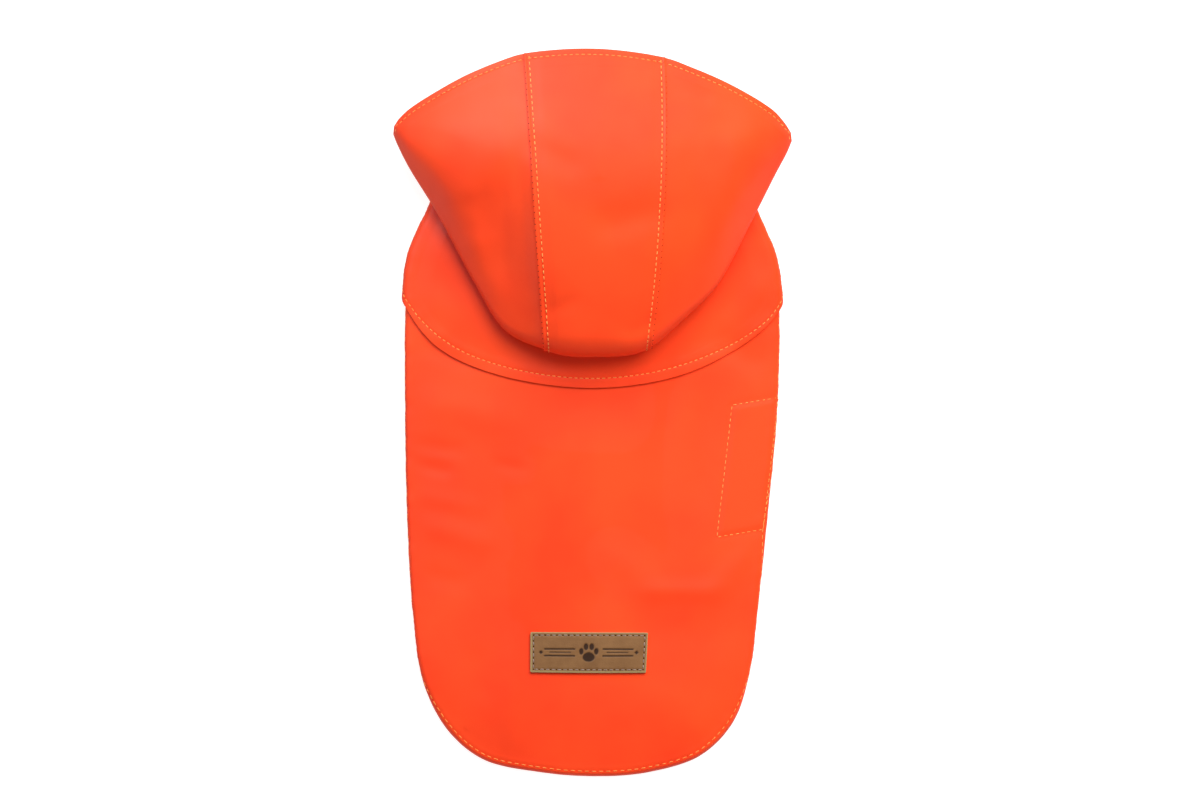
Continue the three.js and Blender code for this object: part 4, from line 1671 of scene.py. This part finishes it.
    def row_on(self, gore: Array, run: Array, lift: Array | float, thread: float) -> StitchRow:
        """Gives a row of stitches on the hood's face.

        Args:
            gore: The gore lines of the row's points.
            run: Their runs.
            lift: How far they stand off the hood's form.
            thread: The thread's thickness.

        Returns:
            The row.
        """
        normals = -face_normals(self.form.at, gore, run, (0.02, 0.02))
        lift = np.broadcast_to(lift, np.shape(run))
        points = self.form.at(gore, run) + normals * lift[:, None]
        return StitchRow(points, normals, self.pitch, thread)

    def strip_rows_on(self, side: int) -> list[StitchRow]:
        """Gives the rows along one edge of the centre strip.

        Args:
            side: Its left (-1) or right (1) edge.

        Returns:
            The row in the seam, and the row inside it.
        """
        stretches = ((0.008, 1, 240), (1, 2, 120), (2, 2.96, 90))  # from, to and points
        first, *others = (np.linspace(*stretch) for stretch in stretches)
        run = np.concatenate([first, *(other[1:] for other in others)])
        in_seam, beside = (
            self.row_on(
                self.strip_gore(inset, run, side), run, self.strip_face(inset), self.seam_thread
            )
            for inset in (np.full(run.shape, row) for row in self.strip_rows)
        )
        in_seam.sunk, in_seam.hole = self.seam_thread, self.edge_hole_shade
        return [in_seam, beside]

    def face_row_on(self, side: int) -> StitchRow:
        """Gives the topstitching along a side panel's face edge, from the fold at its tip.

        Args:
            side: The left (-1) or right (1) panel.

        Returns:
            The row.
        """
        form = self.form
        gore = side * np.linspace(form.tip - 0.16, form.seam + 0.06, 220)
        run = self.face_row / self.length_on_top(gore)
        corner = np.linspace(1.0, run[0], 30)[:-1]
        gore = np.concatenate([np.full(corner.shape, gore[0]), gore])
        return self.row_on(gore, np.concatenate([corner, run]), -0.1, self.thread)

    def strip_face_row(self) -> StitchRow:
        """Gives the topstitching along the face edge of the centre strip."""
        gore = np.linspace(-self.form.seam + 0.1, self.form.seam - 0.1, 200)
        run = self.face_row / self.length_on_top(gore)
        return self.row_on(gore, run, self.strip_lift[1] - 0.2, self.thread)

    def build(self) -> None:
        """Makes the three panels and sews their rows."""
        panels = (self.side_panel(-1), self.side_panel(1), self.centre_strip())
        strip = [*self.strip_rows_on(-1), *self.strip_rows_on(1), self.strip_face_row()]
        centre = self.sew_rows("hood_centre_stitches", strip)
        left = self.sew_rows("hood_left_face_stitches", [self.face_row_on(-1)])
        right = self.sew_rows("hood_right_face_stitches", [self.face_row_on(1)])
        sewn = zip(panels, (left, right, centre), self.flats)
        for panel, stitches, (width, length, area) in sewn:
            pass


@dataclass
class UnderPanel(Sewn):
    """A cloth piece under the coat, with its coated face down on the surface."""

    node: str = ""
    columns: int = 110
    rows: int = 40
    row_inset: float = 4.5  # the stitch rows' distance from the hems' edges
    row_ends: Pair = (0.015, 0.985)  # where they start and end, as shares across
    drawn: float = 0.42  # how far the thread draws the lower face up
    groove: float = 0.9  # half width of the groove along the thread
    pitch: float = 3.2
    inset: float = 1.0  # how far the panel's sides lie inside the back's hem line
    hem_cloth: float = 1.1
    flat: Triple = (0.1, 0.1, 0.01)  # width, length and area as it is cut

    def place_at(self, across: Array, up: Array, below: Array, above: Array) -> Array:
        """Gives points of the panel's lower face.

        Args:
            across: Shares of the way from its left to its right side.
            up: Shares of the way from one hem to the other.
            below: Distances in from its lower edge, FAR away from it.
            above: Distances in from its upper edge, FAR away from it.

        Returns:
            The points.
        """
        raise NotImplementedError

    @staticmethod
    def between(bottom: Array | float, top: Array, up: Array, below: Array, above: Array) -> Array:
        """Gives the y of places between a lower and an upper edge, the rest as in place_at."""
        y = mix(bottom + HEM_WIDTH, top - HEM_WIDTH, up)
        return np.where(below < FAR, bottom + below, np.where(above < FAR, top - above, y))

    def hem_grid(self) -> tuple[Array, Array, Array, Array]:
        """Gives the values that place_at takes, over the panel's grid."""
        near, far = HEM_RUNS, np.full(HEM_RUNS.shape, FAR)
        middle = np.linspace(0, 1, self.rows + 1)[1:-1]
        inner = np.full(middle.shape, FAR)
        up = np.concatenate([0 * near, middle, 0 * near + 1])
        below = np.concatenate([near, inner, far])
        above = np.concatenate([far, inner, near[::-1]])
        across = np.linspace(1, 0, self.columns + 1)
        rows = (values[:, None] for values in (up, below, above))
        return tuple(np.broadcast_arrays(across[None, :], *rows))

    def drawn_up(self, below: Array, above: Array) -> Array:
        """Gives how far the thread draws the lower face up along its two rows."""
        grooves = (hump(inset, self.row_inset, self.groove) for inset in (below, above))
        return self.drawn * sum(grooves)

    def build(self) -> None:
        """Makes the panel and the stitches of its two hems."""
        across, up, below, above = self.hem_grid()
        points = self.place_at(across, up, below, above)
        hem, layers = np.minimum(below, above) < HEM_TURN, self.finishes.turned
        cloth = ClothSheet(f"{self.node}_cloth", points, layers, hem, hem_cloth=self.hem_cloth)
        sheet = self.place(cloth.build(), Slot.CLOTH, self.node)
        share = np.linspace(*self.row_ends, 300)
        far = np.full(share.shape, FAR)
        near = np.full(share.shape, self.row_inset)
        down = np.broadcast_to((0.0, 0.0, -1.0), (len(share), 3))
        rows = []
        for below, above, up in ((near, far, 0.0), (far, near, 1.0)):
            line = self.place_at(share, np.full(share.shape, up), below, above)
            rows.append(StitchRow(line, down, self.pitch))
        stitches = self.sew_rows(f"{self.node}_hem_stitches", rows)
        width, length, area = self.flat


@dataclass
class ChestPanel(UnderPanel):
    """The chest panel, flat on the surface from the throat to the belly."""

    node: str = "chest_panel"
    bottom: float = 24.0
    flat: Triple = (0.196, 0.108, 0.0138)

    def place_at(self, across: Array, up: Array, below: Array, above: Array) -> Array:
        """Gives points of the panel's lower face, as UnderPanel says."""
        form = self.form
        top = form.neck_y(mix(form.neck_left, form.neck_right, across), form.throat_dip)
        y = self.between(self.bottom, top, up, below, above)
        left = form.hem.x_at(y, -1) + self.inset
        right = form.hem.x_at(y, 1) - self.inset
        return stack(mix(left, right, across), y, self.drawn_up(below, above))


@dataclass
class BellyBand(UnderPanel):
    """The belly band, from under the left edge to the hook tape under the right edge."""

    node: str = "belly_band"
    middle: float = -28.5
    end_width: float = 74.0
    waist_width: float = 58.0
    rise: Pair = (34.0, 62.0)  # it comes up to the hook tape between these x
    right: float = 88.0
    flat_x: float = 90.0  # past this x it follows the back's face no further down
    flat: Triple = (0.187, 0.074, 0.0124)

    def place_at(self, across: Array, up: Array, below: Array, above: Array) -> Array:
        """Gives points of the band's lower face, as UnderPanel says."""
        left = self.form.hem.x_at(np.float64(self.middle), -1) + self.inset
        x = mix(left, self.right, across)
        width = mix(self.end_width, self.waist_width, np.sin(math.pi * across) ** 2)
        y = self.between(self.middle - width / 2, self.middle + width / 2, up, below, above)
        face = self.form.height_at(np.minimum(x, self.flat_x), y)
        high = np.maximum(face - 2 * WALL - 2 * TAPE - 3 * GAP, 0.0)
        return stack(x, y, high * ease(x, *self.rise) + self.drawn_up(below, above))


@dataclass
class FasteningTapes(Sewn):
    """The loop tape under the back panel, the hook tape on the band, and the box round them."""

    centre: Pair = (77.6, -28.5)
    turn: float = -0.12
    size: Pair = (20.0, 68.0)
    bedded: float = 0.2  # how far the loop tape's pile is let into the cloth over it
    step: float = 0.9
    pitch: float = 3.1

    def tape_points(self, below: float) -> Array:
        """Gives points of a tape's upper face.

        Args:
            below: How far it is below the back panel's face.

        Returns:
            The points.
        """
        width, length = self.size
        v = np.linspace(-length / 2, length / 2, int(length / self.step))[:, None]
        u = np.linspace(-width / 2, width / 2, int(width / self.step))[None, :]
        x = self.centre[0] + u * math.cos(self.turn) - v * math.sin(self.turn)
        y = self.centre[1] + u * math.sin(self.turn) + v * math.cos(self.turn)
        return stack(x, y, self.form.height_at(x, y) - below)

    def box_row(self, start: Array, end: Array) -> StitchRow:
        """Gives one side of the box that shows on the back panel.

        Args:
            start: The x and y of the corner it starts at.
            end: Those of the corner it ends at.

        Returns:
            Its row of stitches.
        """
        places = mix(start, end, np.linspace(0, 1, 160)[:, None])
        x, y = places[:, 0], places[:, 1]
        normals = face_normals(self.form.over_plan, x, y, (0.25, 0.25))
        return StitchRow(self.form.over_plan(x, y), normals, self.pitch)

    def build(self) -> None:
        """Makes both tapes and the box of stitches over them."""
        layers = (self.finishes.tape,) * 3
        for name, node, below, thick in (
            ("loop_tape_pile", "loop_tape", LAYER - self.bedded, TAPE + self.bedded),
            ("hook_tape_bed", "hook_tape", LAYER + TAPE + GAP, TAPE),
        ):
            points = self.tape_points(below)
            tape = ClothSheet(name, points, layers, cloth=thick, hem_cloth=thick).build()
            self.place(tape, Slot.TAPE, node)
        low_left, low_right, high_right, high_left = self.form.box.corners()
        sides = (
            (high_left, high_right),
            (high_left, low_left),
            (low_left, low_right),
            (high_right, low_right),
        )
        self.sew_rows("fastening_box_stitches", [self.box_row(*side) for side in sides])


@dataclass
class HideLabel(Sewn):
    """The hide label near the tail, pressed with a paw print between ruled lines."""

    centre: Pair = (-2.0, -125.2)
    turn: float = -0.004
    size: Pair = (61.0, 21.0)
    thick: float = 1.5
    corner: float = 0.6  # radius of its corners
    slant: float = 0.5  # how far the right end leans
    sag: float = 0.25  # how far the lower edge bows down
    edge_dome: Triple = (0.3, -0.2, 1.6)  # rise, and where it starts and ends
    dome: Triple = (0.12, 2.0, 8.0)  # the same for its middle
    drawn: float = 0.3  # how far the thread draws the hide in
    groove: float = 0.6  # half width of the groove along the thread
    step: float = 0.36
    row_inset: float = 1.6
    pitch: float = 3.0
    thread: float = 0.62
    # width of the needle holes' painted shade
    hole: float = 0.9
    rub: float = 1.1  # width of the rubbed edge
    rub_ends: Pair = (0.5, 1.2)  # the rubbing fades between these shares of it
    rub_lean: float = 1.6  # how much narrower it is on the right and above
    depth: float = 0.3  # depth of the pressed motif
    press_soft: Pair = (-0.18, 0.22)  # how softly its outline goes down
    diamond_x: float = 25.0  # place of the small diamonds at both ends
    diamond: Pair = (0.75, 0.7)  # half width over its slope, and slope
    pads: tuple[Quad, ...] = (
        # centre x and y, and half sizes, of each pad of the print
        (0.0, -2.3, 3.2, 2.4),
        (-3.9, 0.6, 1.15, 1.6),
        (-1.5, 2.9, 1.25, 1.8),
        (1.5, 2.9, 1.25, 1.8),
        (3.9, 0.6, 1.15, 1.6),
    )
    rules: tuple[Quad, ...] = (
        # start x, end x, y and half width of each ruled line, which is on both sides
        (7.5, 23.0, 1.7, 0.42),
        (7.5, 23.0, -1.7, 0.42),
        (9.5, 20.5, 0.0, 0.2),
    )

    def rounded(self, u: Array, v: Array) -> tuple[Array, Array]:
        """Rounds the corners of a grid over the label.

        Args:
            u, v: The grid's distances right of the label's middle and above it.

        Returns:
            Both distances, drawn in at the corners.
        """
        inner = np.array(self.size) / 2 - self.corner
        a, b = np.maximum(np.abs(u) - inner[0], 0), np.maximum(np.abs(v) - inner[1], 0)
        s, t = a / self.corner, b / self.corner
        x = np.where(a > 0, inner[0] + a * np.sqrt(1 - t * t / 2), np.abs(u))
        y = np.where(b > 0, inner[1] + b * np.sqrt(1 - s * s / 2), np.abs(v))
        return x * np.sign(u), y * np.sign(v)

    def pressed(self, x: Array, y: Array) -> Array:
        """Says where the motif is pressed into the hide.

        Args:
            x, y: Distances right of the label's middle and above it.

        Returns:
            1 where it is pressed and 0 elsewhere.
        """
        inside = np.full(x.shape, -FAR)
        for px, py, half_x, half_y in self.pads:
            away = np.hypot((x - px) / half_x, (y - py) / half_y)
            inside = np.maximum(inside, (1 - away) * min(half_x, half_y))
        for start, end, at, half in self.rules:
            beyond = np.maximum(np.maximum(start - np.abs(x), np.abs(x) - end), 0)
            inside = np.maximum(inside, half - np.hypot(beyond, y - at))
        half, slope = self.diamond
        away = np.abs(np.abs(x) - self.diamond_x) + np.abs(y)
        return ease(np.maximum(inside, half - away * slope), *self.press_soft)

    def rubbed(self, u: Array, v: Array) -> Array:
        """Says where the hide is rubbed pale: at its cut edge, and wider on the left and below.

        Args:
            u, v: Distances right of the label's middle and above it.

        Returns:
            1 at the edge and 0 inside.
        """
        half_x, half_y = np.array(self.size) / 2
        near = np.minimum(half_x + u, half_y + v)
        far = np.minimum(half_x - u, half_y - v) * self.rub_lean
        start, end = self.rub_ends
        return 1 - ease(np.minimum(near, far), start * self.rub, end * self.rub)

    def top(self, u: Array, v: Array) -> Array:
        """Gives points of the label's upper face.

        Args:
            u, v: Distances right of the label's middle and above it.

        Returns:
            The points.
        """
        half_x, half_y = np.array(self.size) / 2
        leaning = self.slant * (v / half_y) * ease(u, -half_x, half_x)
        sagging = self.sag * (1 - (u / half_x) ** 2) * (v < 0)
        x = self.centre[0] + u + leaning - v * self.turn
        y = self.centre[1] + v + u * self.turn - sagging
        from_edge = np.minimum(half_x - np.abs(u), half_y - np.abs(v))
        dome = sum(rise * ease(from_edge, *ends) for rise, *ends in (self.edge_dome, self.dome))
        drawn = self.drawn * hump(from_edge, self.row_inset, self.groove)
        height = self.form.height_at(x, y) + self.thick + dome - drawn
        return stack(x, y, height - self.depth * self.pressed(u, v))

    def build(self) -> None:
        """Makes the label, its pressed motif and its border of stitches."""
        width, length = self.size
        v = np.linspace(-length / 2, length / 2, int(length / self.step) + 1)[:, None]
        u = np.linspace(-width / 2, width / 2, int(width / self.step) + 1)[None, :]
        u, v = self.rounded(*np.broadcast_arrays(u, v))
        label = ClothSheet(
            "hide_label",
            self.top(u, v),
            (self.finishes.hide, self.finishes.hide_edge, self.finishes.hide_edge),
            cloth=self.thick,
            hem_cloth=self.thick,
            rim_round=0.3,
            marks={"pressed": self.pressed(u, v), "rubbed": self.rubbed(u, v)},
        ).build()
        self.place(label, Slot.LEATHER, "label")
        x, y = width / 2 - self.row_inset, length / 2 - self.row_inset
        corners = np.array([(-x, -y), (x, -y), (x, y), (-x, y), (-x, -y)])
        rows = []
        for start, end in zip(corners, corners[1:]):
            places = mix(start, end, np.linspace(0, 1, 120)[:, None])
            u, v = places[:, 0], places[:, 1]
            up = np.broadcast_to((0.0, 0.0, 1.0), (len(u), 3))
            rows.append(StitchRow(self.top(u, v), up, self.pitch, self.thread, self.hole))
        self.sew_rows("hide_label_stitches", rows, Slot.LEATHER)


# ---- The studio ----


@dataclass
class Studio:
    """A white light table under soft lights and a warm sky, seen by a camera straight above."""

    aim: Triple = (3.9, 6.8, 5.0)  # the point that the camera is over
    distance: float = 9000.0  # from that point to the camera
    view_width: float = 628.0  # width of what it sees there
    sensor: float = 36.0
    far_clip: float = 100.0  # in metres
    table_size: float = 8.0  # in metres
    table_drop: float = 0.2  # how far the table's top is below the coat
    key_place: Triple = (0.5, 1.0, 1.31)
    key_size: float = 1.7
    key_power: float = 49.0
    gloss_place: Triple = (-0.7, 0.85, 1.1)
    gloss_size: float = 0.7
    gloss_power: float = 14.0
    sky: float = 0.32
    sky_tint: Quad = (1.0, 0.74, 0.64, 1.0)

    def build(self, top: Material) -> None:
        """Sets up the table, with its top's material, the lights and the camera."""
        self._table(top)
        self._lights()
        self._camera()

    def _table(self, top: Material) -> None:
        """Lays the table's top just below the coat."""
        place = (0, 0, -self.table_drop * MM)
        bpy.ops.mesh.primitive_plane_add(size=self.table_size, location=place)
        table = bpy.context.object
        table.name = "light_table"
        bpy.ops.object.transform_apply(location=True)
        table.data.materials.append(top)
        table.visible_glossy = False

    def _lights(self) -> None:
        """Lights the coat from all round by a warm sky, and by two lights that share their work.

        The large key from the upper right gives the shading and no highlights, and the small one
        from the upper left gives the highlights and no shading.
        """
        world = bpy.data.worlds.new("studio_sky")
        bpy.context.scene.world = world
        world.use_nodes = True
        background = world.node_tree.nodes["Background"]
        background.inputs["Color"].default_value = self.sky_tint
        background.inputs["Strength"].default_value = self.sky
        key = self._soft_box("key_light", self.key_place, self.key_size, self.key_power)
        key.visible_glossy = False
        gloss = self._soft_box("gloss_light", self.gloss_place, self.gloss_size, self.gloss_power)
        gloss.visible_diffuse = False

    def _soft_box(self, name: str, place: Triple, size: float, power: float) -> Object:
        """Hangs a round soft light, turned to the coat.

        Args:
            name: The light's name.
            place: Its place, in metres.
            size: Its width, in metres.
            power: Its power, in watts.

        Returns:
            The light.
        """
        light = bpy.data.lights.new(name, "AREA")
        light.shape = "DISK"
        light.size = size
        light.energy = power
        lamp = bpy.data.objects.new(name, light)
        bpy.context.scene.collection.objects.link(lamp)
        lamp.location = place
        lamp.rotation_euler = (-Vector(place)).to_track_quat("-Z", "Y").to_euler()
        return lamp

    def _camera(self) -> None:
        """Hangs the camera high above the coat, with the head end up."""
        lens = bpy.data.cameras.new("camera")
        lens.sensor_width = self.sensor
        lens.lens = self.sensor * self.distance / self.view_width
        lens.clip_end = self.far_clip
        camera = bpy.data.objects.new("camera", lens)
        bpy.context.scene.collection.objects.link(camera)
        x, y, z = self.aim
        camera.location = (x * MM, y * MM, (z + self.distance) * MM)
        bpy.context.scene.camera = camera
        bpy.context.scene.view_settings.view_transform = "Standard"


def main() -> None:
    """Builds the studio and the coat, and reports each piece."""
    logging.basicConfig(level=logging.INFO, format="%(message)s")
    finishes = Finishes()
    Studio().build(finishes.table)
    form = BackForm()
    thread = Stitch(finishes.thread, finishes.hole)
    label_thread = Stitch(finishes.label_thread, finishes.label_hole_shade)
    parts = [
        BackPanel(finishes, thread, form),
        ShoulderCape(finishes, thread, form),
        Hood(finishes, thread, HoodForm(form)),
        ChestPanel(finishes, thread, form),
        BellyBand(finishes, thread, form),
        FasteningTapes(finishes, thread, form),
        HideLabel(finishes, label_thread, form),
    ]
    for part in parts:
        part.build()
        LOG.info("%s: %s", type(part).__name__, ", ".join(part.made))
    thread.discard()
    label_thread.discard()


if __name__ == "__main__":
    main()
